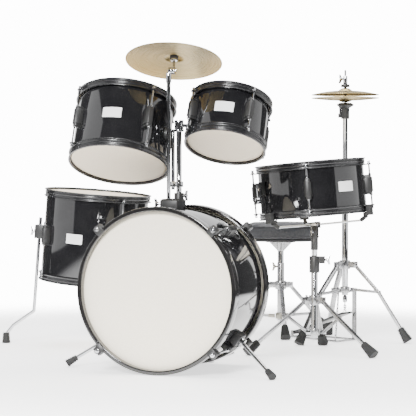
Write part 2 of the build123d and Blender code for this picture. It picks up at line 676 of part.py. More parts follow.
def hihat_nodes():
    tube = ring(9.5, 7.55, 140, 428)
    stand = [tube] + rigid_tripod(hihat_tripod, hihat_leg_turns, 9.5) + height_clamp(9.5, 412, 444, 20)
    half = pedal_frame_half
    heel_plate = brick((pedal_length - 12, -30, 0), (pedal_length + 14, 30, 4))
    rails = [rod((0, sign * half, 3), (pedal_length + 2, sign * half * 0.6, 3), 3) for sign in (-1, 1)]
    cross = brick((-8, -half - 4, 0), (8, half + 4, 4))
    uprights = brick((-7, -half - 3, 3), (7, -half + 2, 160)) + brick((-6, -half, 148), (6, -14.6, 153))
    wire = rod((0, half, 3), (0, half - 14, 150), 2.6) + rod((0, half - 14, 150), (0, 14.6, 150), 2.6)
    frame = heel_plate + rails[0] + rails[1] + cross + uprights + wire
    ears = brick((pedal_length - 4, -30, 3), (pedal_length + 4, -26, 22)) + brick((pedal_length - 4, 26, 3),
                                                                                  (pedal_length + 4, 30, 22))
    ears += rod((pedal_length, -30, hat_heel_height), (pedal_length, 30, hat_heel_height), 2.5)
    frame = frame + ears
    stand += turned(frame, [hihat_pedal_turn])
    rise = hat_toe_height - hat_heel_height
    board_length = sqrt(rise ** 2 + pedal_length ** 2) + 8
    slope = degrees(atan2(rise, pedal_length))
    board = Pos(pedal_length, 0, hat_heel_height) * Rot(0, slope, 0) * brick((-board_length, -24, -3),
                                                                             (0, 24, 3))
    board += rod((pedal_length, -25, hat_heel_height), (pedal_length, 25, hat_heel_height), 6)
    board = board - rod((pedal_length, -40, hat_heel_height), (pedal_length, 40, hat_heel_height), 2.55)
    upper_tube = ring(7.5, 3.6, 262, 706)
    housing = ring(12.5, 3.6, 672, 712)
    cup = lathe([(3.6, 704), (13, 704), (25, 712), (25, 717), (3.6, 717)])
    knob = rod((-16, 0, 688), (-16, 0, 712), 3) + rod((-16, 0, 676), (-16, 0, 688),
                                                      6) + brick((-19, -4, 704), (-8, 4, 713))
    cup_felt = ring(20, 4.2, 717.2, 717.2 + 3)
    pull = rod((0, 0, 126), (0, 0, 819), 3)
    end_cap = rod((0, 0, 118), (0, 0, 139), 7)
    chain = rod((0, 0, hat_toe_height + 5), (0, 0, 120), 3.4)
    top_edge = hat_lower_edge + hat_gap
    clutch = ring(6.5, 3.05, top_edge + 31, top_edge + 56)
    clutch_screw = facing((0, 0, top_edge + 47), 200) * Pos(6.5, 0, 0) * wing_screw(6)
    hat_sleeve = ring(4.1, 3.05, top_edge + 12, top_edge + 31)
    hat_sleeve += ring(13, 3.05, top_edge + 22.6, top_edge + 30.6) + ring(8, 3.05, top_edge + 11.5,
                                                                          top_edge + 18)
    top_hat = Pos(0, 0, top_edge) * cymbal(hat_radius, 21, 9, 11, 1.1, 4.5)
    low_hat = Pos(0, 0, hat_lower_edge + 1.1) * Rot(180, 0, 0) * cymbal(hat_radius, 21, 6.5, 6, 1.1, 4.5)
    return dict(
        hihat_stand_base=at_place(hihat_at, stand),
        hihat_upper_tube=at_place(hihat_at, [upper_tube + housing + cup + knob, cup_felt]),
        hihat_pull_rod=at_place(hihat_at, [pull + end_cap + chain]),
        hihat_clutch=at_place(hihat_at, [clutch, clutch_screw, hat_sleeve]),
        hihat_top_cymbal=at_place(hihat_at, top_hat),
        hihat_bottom_cymbal=at_place(hihat_at, low_hat),
        hihat_pedal_board=at_place(hihat_at, turned(board, [hihat_pedal_turn])),
    )


# ---- throne ----

def throne_nodes():
    tube = ring(11, 9.55, 44, 226)
    screw = facing((-10.8, 0, 214), 195) * wing_screw(9)
    base = [tube, screw] + rigid_tripod(throne_tripod, throne_leg_turns, 11)
    post = rod((0, 0, 90), (0, 0, 284.5), 9.5)
    plate = drum_disc(46, 291, 295)
    gusset_outline = Wire.make_polygon([Vector(8, 0, 266), Vector(12, 0, 266), Vector(37, 0, 292),
                                        Vector(8, 0, 292)], close=True)
    gusset = extrude(Face(gusset_outline), amount=1.5, dir=(0, 1, 0), both=True)
    sleeve = rod((0, 0, 264), (0, 0, 292), 11.5)
    bracket = sleeve + turned(gusset, (20, 110, 200, 290)) + plate
    bracket = bracket - rod((0, 0, 200), (0, 0, 285), 9.55)
    board = drum_disc(seat_radius - 6, 295.4, 303)
    cushion = fillet(drum_disc(seat_radius, 303, seat_top).edges(), 9)
    cushion += drum_disc(seat_radius - 2, seat_bottom, 306) - drum_disc(seat_radius - 5.9, 290, 303)
    return dict(throne_base=at_place(throne_at, base), throne_post=at_place(throne_at, post),
                throne_seat=at_place(throne_at, [bracket, board, cushion]))


# ---- bass pedal ----

def bass_pedal_nodes():
    heel_y, heel_z = bass_pedal_heel[1], bass_pedal_heel[2]
    axle_y, axle_z = beater_axle[1], beater_axle[2]
    frame = brick((-36, 300, 0), (36, heel_y + 22, 4))
    frame += brick((-24, 296, 0), (24, 308, 20)) + brick((-16, 279, 13), (16, 300, 18))
    for sign in (-1, 1):
        frame += brick((sign * 44 - 4, axle_y - 9, 0), (sign * 44 + 4, axle_y + 9, axle_z + 10))
        frame += brick((sign * 40 - 8, axle_y - 9, 0), (sign * 40 + 8, axle_y + 9, 6))
        frame += brick((sign * 30 - 2, heel_y - 6, 3), (sign * 30 + 2, heel_y + 6, heel_z + 7))
    frame += rod((-30, heel_y, heel_z), (30, heel_y, heel_z), 2.5)
    frame = frame - rod((-60, axle_y, axle_z), (60, axle_y, axle_z), 4.05)
    spring = rod((56, axle_y, 22), (56, axle_y, 110), 6)
    hook = brick((46, axle_y - 4, 18), (60, axle_y + 4, 22))
    slope = degrees(atan2(bass_pedal_toe[2] - heel_z, heel_y - bass_pedal_toe[1]))
    reach = sqrt((heel_y - bass_pedal_toe[1]) ** 2 + (bass_pedal_toe[2] - heel_z) ** 2)
    board = Pos(0, heel_y, heel_z) * Rot(-slope, 0, 0) * brick((-27, -reach, -3), (27, 0, 3))
    board += rod((-27, heel_y, heel_z), (27, heel_y, heel_z), 6)
    board = board - rod((-40, heel_y, heel_z), (40, heel_y, heel_z), 2.55)
    chain = rod((0, axle_y + 26, bass_pedal_toe[2]), (0, axle_y + 20, axle_z - 24), 3)
    tilt = radians(beater_rest_lean)
    end = Vector(0, axle_y + beater_length * sin(tilt), axle_z + beater_length * cos(tilt))
    shaft = rod((-52, axle_y, axle_z), (52, axle_y, axle_z), 4)
    shaft += rod((-9, axle_y, axle_z), (9, axle_y, axle_z), cam_radius)
    shaft += rod((0, axle_y, axle_z), end, 3)
    ahead = Vector(0, -cos(tilt), sin(tilt))
    felt = rod(end - ahead * 20, end + ahead * 18, 21)
    felt = felt - shaft
    return dict(bass_pedal_frame=[frame + hook, spring], bass_pedal_board=[board + chain],
                bass_pedal_beater=[shaft, felt])


# ---- assemble, centre and write ----

def all_nodes():
    nodes = {}
    for part in (bass_nodes(), bracket_nodes(), tom_nodes(), holder_nodes(), crash_nodes(),
                 floor_tom_nodes(),
                 snare_drum_nodes(), snare_stand_nodes(), hihat_nodes(), throne_nodes(), bass_pedal_nodes()):
        nodes.update(part)
    for side in spurs:
        nodes[f"bass_spur_{side}"] = spur_piece(side)
    return nodes


def centre_shift(nodes):
    # brings the middle of the kit's footprint to the origin
    boxes = [Compound(children=as_solids([shapes])).bounding_box() for shapes in nodes.values()]
    low_x = min(box.min.X for box in boxes)
    high_x = max(box.max.X for box in boxes)
    low_y = min(box.min.Y for box in boxes)
    high_y = max(box.max.Y for box in boxes)
    return Vector(-(low_x + high_x) / 2, -(low_y + high_y) / 2, 0)


nodes = all_nodes()
shift = centre_shift(nodes)

if __name__ == "__main__":
    os.makedirs("parts", exist_ok=True)
    for name, shapes in nodes.items():
        moved = [Pos(*shift) * solid for solid in as_solids([shapes])]
        export_step(Compound(children=moved), f"parts/{name}.step")
    print(len(nodes), "nodes, shift", round(shift.X, 3), round(shift.Y, 3))
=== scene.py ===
import json
from math import atan2, cos, pi, radians, sin, sqrt, tau

import bmesh
import bpy
from mathutils import Matrix, Vector


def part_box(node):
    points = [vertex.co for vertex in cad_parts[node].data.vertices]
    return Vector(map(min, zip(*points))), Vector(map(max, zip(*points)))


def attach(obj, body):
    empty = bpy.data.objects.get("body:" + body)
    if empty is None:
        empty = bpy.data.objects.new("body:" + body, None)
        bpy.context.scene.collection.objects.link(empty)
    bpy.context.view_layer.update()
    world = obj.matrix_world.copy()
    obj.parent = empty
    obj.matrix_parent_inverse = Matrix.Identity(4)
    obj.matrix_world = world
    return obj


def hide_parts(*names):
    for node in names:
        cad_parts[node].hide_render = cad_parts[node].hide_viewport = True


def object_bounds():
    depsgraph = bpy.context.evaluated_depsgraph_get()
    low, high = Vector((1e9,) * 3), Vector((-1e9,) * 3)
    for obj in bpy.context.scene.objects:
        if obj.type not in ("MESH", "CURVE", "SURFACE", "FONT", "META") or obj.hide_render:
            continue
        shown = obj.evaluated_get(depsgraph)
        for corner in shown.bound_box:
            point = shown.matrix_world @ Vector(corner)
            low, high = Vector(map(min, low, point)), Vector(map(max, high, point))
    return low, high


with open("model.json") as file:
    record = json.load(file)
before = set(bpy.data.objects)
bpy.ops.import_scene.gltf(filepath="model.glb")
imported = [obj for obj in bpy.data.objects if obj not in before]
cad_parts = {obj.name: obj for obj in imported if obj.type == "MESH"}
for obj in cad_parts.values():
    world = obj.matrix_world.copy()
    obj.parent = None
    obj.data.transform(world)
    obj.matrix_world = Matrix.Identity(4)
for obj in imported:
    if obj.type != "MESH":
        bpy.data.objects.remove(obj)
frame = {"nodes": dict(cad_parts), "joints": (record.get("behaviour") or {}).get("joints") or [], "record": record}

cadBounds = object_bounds()
print("frame loaded", len(frame["nodes"]), "nodes")


# shader groups: each gives masks, tones, values or normals only

def newGroup(name, inputs, outputs):
    group = bpy.data.node_groups.new(name, "ShaderNodeTree")
    for label, value in inputs.items():
        group.interface.new_socket(label, in_out="INPUT", socket_type="NodeSocketFloat").default_value = value
    for label in outputs:
        group.interface.new_socket(label, in_out="OUTPUT", socket_type="NodeSocketFloat")
    return group, group.nodes.new("NodeGroupInput"), group.nodes.new("NodeGroupOutput")


def addNode(tree, kind, **settings):
    node = tree.nodes.new(kind)
    for key, value in settings.items():
        if key in node.inputs:
            node.inputs[key].default_value = value
        else:
            setattr(node, key, value)
    return node


def join(tree, source, target):
    tree.links.new(source, target)


def mathNode(tree, operation, first, second=None):
    node = addNode(tree, "ShaderNodeMath", operation=operation)
    for socket, value in zip(node.inputs, (first, second)):
        if isinstance(value, (int, float)):
            socket.default_value = value
        elif value is not None:
            join(tree, value, socket)
    return node.outputs[0]


def spread(tree, value, low, high):
    # maps 0..1 onto low..high, where both may be sockets
    node = addNode(tree, "ShaderNodeMapRange")
    join(tree, value, node.inputs["Value"])
    for key, limit in (("To Min", low), ("To Max", high)):
        if isinstance(limit, (int, float)):
            node.inputs[key].default_value = limit
        else:
            join(tree, limit, node.inputs[key])
    return node.outputs[0]


def handlingGroup():
    # fine smudges and a cloudy variation, as on anything that has been carried about
    group, given, result = newGroup("handlingMarks", {"Size": 14.0, "Low": 0.1, "High": 0.3}, ["Value", "Cloud"])
    place = addNode(group, "ShaderNodeTexCoord").outputs["Object"]
    cloud = addNode(group, "ShaderNodeTexNoise", Detail=4.0, Roughness=0.62)
    join(group, place, cloud.inputs["Vector"])
    join(group, given.outputs["Size"], cloud.inputs["Scale"])
    streak = addNode(group, "ShaderNodeTexNoise", Scale=220.0, Detail=2.0)
    join(group, place, streak.inputs["Vector"])
    mixed = mathNode(group, "MULTIPLY_ADD", streak.outputs["Fac"], 0.25)
    join(group, cloud.outputs["Fac"], mixed.node.inputs[2])
    join(group, spread(group, mixed, given.outputs["Low"], given.outputs["High"]), result.inputs["Value"])
    join(group, cloud.outputs["Fac"], result.inputs["Cloud"])
    return group


def grainGroup():
    # pebbled height for moulded plastic, rubber and vinyl
    group, given, result = newGroup("pebbleGrain", {"Size": 900.0, "Mix": 0.5}, ["Height", "Tone"])
    place = addNode(group, "ShaderNodeTexCoord").outputs["Object"]
    cells = addNode(group, "ShaderNodeTexVoronoi", feature="SMOOTH_F1", Smoothness=0.6)
    join(group, place, cells.inputs["Vector"])
    join(group, given.outputs["Size"], cells.inputs["Scale"])
    noise = addNode(group, "ShaderNodeTexNoise", Detail=3.0)
    join(group, place, noise.inputs["Vector"])
    join(group, mathNode(group, "MULTIPLY", given.outputs["Size"], 0.4), noise.inputs["Scale"])
    blend = addNode(group, "ShaderNodeMix", data_type="FLOAT")
    join(group, given.outputs["Mix"], blend.inputs[0])
    join(group, cells.outputs["Distance"], blend.inputs[2])
    join(group, noise.outputs["Fac"], blend.inputs[3])
    join(group, blend.outputs[0], result.inputs["Height"])
    join(group, noise.outputs["Fac"], result.inputs["Tone"])
    return group


def latheGroup():
    # lathe bands read from the piece's own map, whose first value is the distance from its centre
    group, given, result = newGroup("latheBands", {"Bands": 60.0, "Fine": 900.0}, ["Height", "Tone"])
    place = addNode(group, "ShaderNodeUVMap", uv_map="radius")
    split = addNode(group, "ShaderNodeSeparateXYZ")
    join(group, place.outputs[0], split.inputs[0])
    coarse = addNode(group, "ShaderNodeTexNoise", noise_dimensions="1D", Detail=2.0)
    fine = addNode(group, "ShaderNodeTexNoise", noise_dimensions="1D", Detail=3.0, Roughness=0.7)
    for noise, label in ((coarse, "Bands"), (fine, "Fine")):
        join(group, split.outputs["X"], noise.inputs["W"])
        join(group, given.outputs[label], noise.inputs["Scale"])
    join(group, fine.outputs["Fac"], result.inputs["Height"])
    tone = mathNode(group, "MULTIPLY_ADD", fine.outputs["Fac"], 0.45)
    join(group, mathNode(group, "MULTIPLY", coarse.outputs["Fac"], 0.55), tone.node.inputs[2])
    join(group, tone, result.inputs["Tone"])
    return group


shaderGroups = {"marks": handlingGroup(), "grain": grainGroup(), "lathe": latheGroup()}


# materials

def newMaterial(name, settings):
    material = bpy.data.materials.new(name)
    material.use_nodes = True
    shader = material.node_tree.nodes["Principled BSDF"]
    for key, value in settings.items():
        shader.inputs[key].default_value = value
    return material, material.node_tree, shader


def placeGroup(tree, key, **values):
    node = addNode(tree, "ShaderNodeGroup", node_tree=shaderGroups[key])
    for label, value in values.items():
        node.inputs[label].default_value = value
    return node


def tint(tree, factor, dark, light, shader):
    ramp = addNode(tree, "ShaderNodeValToRGB")
    ramp.color_ramp.elements[0].color = (*dark, 1)
    ramp.color_ramp.elements[1].color = (*light, 1)
    ramp.color_ramp.elements[0].position = 0.3
    ramp.color_ramp.elements[1].position = 0.7
    join(tree, factor, ramp.inputs[0])
    join(tree, ramp.outputs[0], shader.inputs["Base Color"])


def bumped(tree, height, shader, distance, strength=0.5):
    bump = addNode(tree, "ShaderNodeBump", Distance=distance, Strength=strength)
    join(tree, height, bump.inputs["Height"])
    join(tree, bump.outputs[0], shader.inputs["Normal"])


def marked(name, dark, light, low, high, size=14.0, **settings):
    # smooth finish with handling marks in its colour and roughness
    material, tree, shader = newMaterial(name, settings)
    marks = placeGroup(tree, "marks", Size=size, Low=low, High=high)
    join(tree, marks.outputs["Value"], shader.inputs["Roughness"])
    tint(tree, marks.outputs["Cloud"], dark, light, shader)
    return material


def grained(name, dark, light, size, depth, low, high, mix=0.5, strength=0.5, **settings):
    # pebbled finish with the same marks
    material, tree, shader = newMaterial(name, settings)
    grain = placeGroup(tree, "grain", Size=size, Mix=mix)
    marks = placeGroup(tree, "marks", Size=9.0, Low=low, High=high)
    join(tree, marks.outputs["Value"], shader.inputs["Roughness"])
    tint(tree, grain.outputs["Tone"], dark, light, shader)
    bumped(tree, grain.outputs["Height"], shader, depth, strength)
    return material


def lathed(name, dark, light, bands, fine):
    material, tree, shader = newMaterial(name, {"Metallic": 1.0, "Anisotropic": 0.35})
    rings = placeGroup(tree, "lathe", Bands=bands, Fine=fine)
    join(tree, spread(tree, rings.outputs["Tone"], 0.16, 0.42), shader.inputs["Roughness"])
    tint(tree, rings.outputs["Tone"], dark, light, shader)
    bumped(tree, rings.outputs["Height"], shader, 0.0004, 0.35)
    return material


finishes = {
    "glossWrap": marked("glossBlackWrap", (0.006, 0.006, 0.007), (0.012, 0.012, 0.013), 0.03, 0.09,
                        **{"Specular IOR Level": 0.55, "Coat Weight": 0.6, "Coat Roughness": 0.03}),
    "lacquer": marked("blackLacquer", (0.006, 0.006, 0.006), (0.014, 0.013, 0.013), 0.05, 0.16,
                      **{"Specular IOR Level": 0.5, "Coat Weight": 0.5, "Coat Roughness": 0.05}),
    "hoopPaint": grained("satinHoopPaint", (0.007, 0.007, 0.008), (0.014, 0.014, 0.015), 1500.0, 0.0001, 0.18, 0.30,
                         strength=0.15, **{"Specular IOR Level": 0.55, "Coat Weight": 0.25}),
    "frontFilm": grained("whiteDrumFilm", (0.85, 0.775, 0.63), (0.90, 0.835, 0.70), 700.0, 0.0002, 0.34, 0.46,
                         mix=0.8, strength=0.05, **{"Specular IOR Level": 0.4}),
    "tomFilm": grained("creamDrumFilm", (0.82, 0.69, 0.51), (0.88, 0.77, 0.60), 700.0, 0.0002, 0.36, 0.5,
                       mix=0.8, strength=0.05, **{"Specular IOR Level": 0.35}),
    "fleshHoop": marked("dullAluminium", (0.35, 0.34, 0.32), (0.5, 0.49, 0.47), 0.3, 0.5, Metallic=1.0),
    "chrome": marked("chromePlate", (0.46, 0.465, 0.48), (0.62, 0.625, 0.64), 0.03, 0.12, Metallic=1.0),
    "satin": marked("satinPlate", (0.30, 0.30, 0.305), (0.50, 0.50, 0.505), 0.16, 0.32, size=30.0, Metallic=1.0),
    "tarnished": marked("tarnishedPlate", (0.20, 0.19, 0.155), (0.42, 0.40, 0.35), 0.2, 0.45, size=60.0,
                        Metallic=1.0),
    "moulded": grained("mouldedBlack", (0.010, 0.010, 0.010), (0.022, 0.022, 0.022), 1400.0, 0.0002, 0.34, 0.5,
                       strength=0.3),
    "rubber": grained("blackRubber", (0.008, 0.008, 0.008), (0.02, 0.02, 0.02), 1100.0, 0.0003, 0.6, 0.8),
    "felt": grained("greyFelt", (0.03, 0.03, 0.03), (0.09, 0.09, 0.09), 1800.0, 0.0008, 0.85, 1.0, mix=0.9),
    "vinyl": grained("seatVinyl", (0.022, 0.023, 0.026), (0.045, 0.046, 0.05), 520.0, 0.0005, 0.36, 0.52,
                     **{"Specular IOR Level": 0.45}),
    "badge": marked("whiteBadge", (0.80, 0.80, 0.80), (0.88, 0.88, 0.88), 0.22, 0.36),
    "board": marked("seatBoard", (0.012, 0.012, 0.013), (0.03, 0.03, 0.032), 0.5, 0.7),
    "brass": lathed("lathedBrass", (0.34, 0.25, 0.10), (0.62, 0.50, 0.26), 46.0, 700.0),
}
print("materials ready", len(finishes))


# mesh helpers: everything is made in metres, in the row frame

def shaded(mesh, sharpAngle=38):
    # smooth faces with hard edges where the surface turns sharply
    work = bmesh.new()
    work.from_mesh(mesh)
    for face in work.faces:
        face.smooth = True
    for edge in work.edges:
        if len(edge.link_faces) == 2:
            edge.smooth = edge.calc_face_angle(0) < radians(sharpAngle)
    work.to_mesh(mesh)
    work.free()
    return mesh


def meshOf(points, faces, sharpAngle=38, recalculate=True):
    mesh = bpy.data.meshes.new("work")
    work = bmesh.new()
    verts = [work.verts.new(point) for point in points]
    for face in faces:
        work.faces.new([verts[index] for index in face])
    if recalculate:
        bmesh.ops.recalc_face_normals(work, faces=work.faces)
    work.to_mesh(mesh)
    work.free()
    return shaded(mesh, sharpAngle)


def softened(outline, radius, steps=3):
    # rounds every corner of a closed outline, leaving points on the axis alone
    result = []
    count = len(outline)
    for index, corner in enumerate(outline):
        here = Vector(corner)
        before = Vector(outline[index - 1]) - here
        after = Vector(outline[(index + 1) % count]) - here
        cut = min(radius, before.length * 0.45, after.length * 0.45)
        if here.x < 1e-6 or cut < 1e-6:
            result.append(tuple(here))
            continue
        first = here + before.normalized() * cut
        last = here + after.normalized() * cut
        for step in range(steps + 1):
            part = step / steps
            result.append(tuple(first * (1 - part) ** 2 + here * 2 * part * (1 - part) + last * part ** 2))
    return result


def lathe(outline, segments=128, sharpAngle=38):
    # closed (radius, height) outline turned about Z
    points, rings = [], []
    for radius, height in outline:
        if radius < 1e-7:
            rings.append([len(points)] * segments)
            points.append((0, 0, height))
            continue
        rings.append(range(len(points), len(points) + segments))
        points += [(radius * cos(tau * k / segments), radius * sin(tau * k / segments),
                    height) for k in range(segments)]
    faces = []
    for low, high in zip(rings, rings[1:] + rings[:1]):
        for k in range(segments):
            after = (k + 1) % segments
            face = list(dict.fromkeys([low[k], low[after], high[after], high[k]]))
            if len(face) > 2:
                faces.append(face)
    return meshOf(points, faces, sharpAngle)


def prism(outline, low, high, bevel=0.0, segments=2):
    # outline in X-Y, from one height to another, with rounded edges
    count = len(outline)
    points = [(x, y, low) for x, y in outline] + [(x, y, high) for x, y in outline]
    faces = [list(range(count))[::-1], list(range(count, 2 * count))]
    faces += [[k, (k + 1) % count, (k + 1) % count + count, k + count] for k in range(count)]
    mesh = meshOf(points, faces)
    return bevelled(mesh, bevel, segments) if bevel else mesh


def bevelled(mesh, width, segments=2, sharpAngle=30):
    work = bmesh.new()
    work.from_mesh(mesh)
    edges = [e for e in work.edges if len(e.link_faces) == 2 and e.calc_face_angle(0) > radians(sharpAngle)]
    bmesh.ops.bevel(work, geom=edges, offset=width, segments=segments, affect="EDGES", profile=0.5,
                    clamp_overlap=True)
    work.to_mesh(mesh)
    work.free()
    return shaded(mesh)


def block(low, high, bevel=0.0008):
    outline = [(low[0], low[1]), (high[0], low[1]), (high[0], high[1]), (low[0], high[1])]
    return prism(outline, low[2], high[2], bevel)


def moved(mesh, matrix):
    mesh.transform(matrix)
    if matrix.determinant() < 0:
        mesh.flip_normals()
    return mesh


def shifted(mesh, x=0.0, y=0.0, z=0.0):
    return moved(mesh, Matrix.Translation((x, y, z)))


def disc(radius, low, high, ease, segments):
    # solid cylinder about Z with eased edges
    return lathe(softened([(0, low), (radius, low), (radius, high), (0, high)], ease), segments)


def mirrored(half):
    # closed outline from the half below the X axis
    return half + [(x, -y) for x, y in reversed(half) if y]


def merged(meshes):
    # one mesh from several, keeping their materials' order as it is
    work = bmesh.new()
    for mesh in meshes:
        work.from_mesh(mesh)
    result = bpy.data.meshes.new("work")
    work.to_mesh(result)
    work.free()
    return result


def aimed(origin, direction, across=None):
    # matrix whose Z looks along direction and whose X leans toward across
    z = Vector(direction).normalized()
    guide = Vector(across) if across else (Vector((1, 0, 0)) if abs(z.x) < 0.9 else Vector((0, 1, 0)))
    x = (guide - z * guide.dot(z)).normalized()
    y = z.cross(x)
    return Matrix.Translation(Vector(origin)) @ Matrix((x, y, z)).transposed().to_4x4()


def linked(name, data):
    item = bpy.data.objects.new(name, data)
    bpy.context.scene.collection.objects.link(item)
    return item


def evaluated(holder):
    return holder.evaluated_get(bpy.context.evaluated_depsgraph_get())


def addPiece(name, mesh, finish, body, *nodes):
    # one finished piece at the origin, riding on its body
    mesh.name = name
    piece = linked(name, mesh)
    if finish:
        mesh.materials.clear()
        mesh.materials.append(finishes[finish])
    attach(piece, body)
    if nodes:
        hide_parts(*nodes)
    return piece


bodyOf = {node: body for body, members in frame["record"]["behaviour"]["bodies"].items() for node in members}


# geometry node trees

def newTree(name, inputs, hasSource=True):
    tree = bpy.data.node_groups.new(name, "GeometryNodeTree")
    if hasSource:
        tree.interface.new_socket("Source", in_out="INPUT", socket_type="NodeSocketGeometry")
    for label, (kind, value) in inputs.items():
        socket = tree.interface.new_socket(label, in_out="INPUT", socket_type=f"NodeSocket{kind}")
        if value is not None:
            socket.default_value = value
    tree.interface.new_socket("Finish", in_out="INPUT", socket_type="NodeSocketMaterial")
    tree.interface.new_socket("Result", in_out="OUTPUT", socket_type="NodeSocketGeometry")
    return tree, tree.nodes.new("NodeGroupInput"), tree.nodes.new("NodeGroupOutput")


def closeTree(tree, given, result, geometry):
    # every tree ends in plain geometry with its finish on it
    real = addNode(tree, "GeometryNodeRealizeInstances")
    finish = addNode(tree, "GeometryNodeSetMaterial")
    join(tree, geometry, real.inputs[0])
    join(tree, real.outputs[0], finish.inputs["Geometry"])
    join(tree, given.outputs["Finish"], finish.inputs["Material"])
    join(tree, finish.outputs[0], result.inputs[0])
    return tree


def combined(tree, **sources):
    node = addNode(tree, "ShaderNodeCombineXYZ")
    for label, source in sources.items():
        join(tree, source, node.inputs[label])
    return node.outputs[0]


def numbered(tree, given):
    # copies of the source as instances, and each one's number
    single = addNode(tree, "GeometryNodeGeometryToInstance")
    copies = addNode(tree, "GeometryNodeDuplicateElements", domain="INSTANCE")
    join(tree, given.outputs["Source"], single.inputs[0])
    join(tree, single.outputs[0], copies.inputs["Geometry"])
    join(tree, given.outputs["Copies"], copies.inputs["Amount"])
    return copies.outputs["Geometry"], addNode(tree, "GeometryNodeInputIndex").outputs[0]


def spaced(tree, kind, label, instances, amount):
    # turns or shifts instances in the space of the source
    node = addNode(tree, kind)
    node.inputs["Local Space"].default_value = False
    join(tree, instances, node.inputs["Instances"])
    join(tree, amount, node.inputs[label])
    return node.outputs[0]


def swept(tree, curve, section):
    # closed bar along a curve
    body = addNode(tree, "GeometryNodeCurveToMesh")
    body.inputs["Fill Caps"].default_value = True
    join(tree, curve, body.inputs["Curve"])
    join(tree, section, body.inputs["Profile Curve"])
    return body


def ringTree():
    # copies of the source at equal turns about Z
    tree, given, result = newTree("repeatRoundAxis", {"Copies": ("Int", 4), "First turn": ("Float", 0.0)})
    copies, index = numbered(tree, given)
    step = mathNode(tree, "DIVIDE", tau, given.outputs["Copies"])
    turn = mathNode(tree, "ADD", mathNode(tree, "MULTIPLY", index, step), given.outputs["First turn"])
    turned = spaced(tree, "GeometryNodeRotateInstances", "Rotation", copies, combined(tree, Z=turn))
    return closeTree(tree, given, result, turned)


def gripTree():
    # ribbed rubber foot: a tapered bar along Z with raised bands
    tree, given, result = newTree("ribbedFoot", {"Length": ("Float", 0.044), "Top radius": ("Float", 0.0105),
                                                  "Foot radius": ("Float", 0.016), "Ribs": ("Float", 9.0),
                                                  "Rib depth": ("Float", 0.0011)}, hasSource=False)
    line = addNode(tree, "GeometryNodeCurvePrimitiveLine")
    join(tree, combined(tree, Z=given.outputs["Length"]), line.inputs["End"])
    finer = addNode(tree, "GeometryNodeResampleCurve")
    finer.inputs["Count"].default_value = 90
    join(tree, line.outputs[0], finer.inputs["Curve"])
    along = addNode(tree, "GeometryNodeSplineParameter").outputs["Factor"]
    wave = mathNode(tree, "SINE",
                    mathNode(tree, "MULTIPLY", along, mathNode(tree, "MULTIPLY", given.outputs["Ribs"], tau)))
    square = mathNode(tree, "GREATER_THAN", wave, -0.2)
    taper = addNode(tree, "ShaderNodeMapRange")
    join(tree, along, taper.inputs["Value"])
    join(tree, given.outputs["Top radius"], taper.inputs["To Min"])
    join(tree, given.outputs["Foot radius"], taper.inputs["To Max"])
    inset = mathNode(tree, "MULTIPLY", mathNode(tree, "SUBTRACT", 1.0, square), given.outputs["Rib depth"])
    shape = addNode(tree, "GeometryNodeSetCurveRadius")
    join(tree, finer.outputs[0], shape.inputs["Curve"])
    join(tree, mathNode(tree, "SUBTRACT", taper.outputs[0], inset), shape.inputs["Radius"])
    section = addNode(tree, "GeometryNodeCurvePrimitiveCircle")
    section.inputs["Radius"].default_value = 1.0
    section.inputs["Resolution"].default_value = 40
    body = swept(tree, shape.outputs[0], section.outputs[0])
    if "Scale" in body.inputs:
        radius = addNode(tree, "GeometryNodeInputRadius")
        join(tree, radius.outputs[0], body.inputs["Scale"])
    return closeTree(tree, given, result, body.outputs[0])


mapScale = 10.0  # map units for each metre from a cymbal's centre


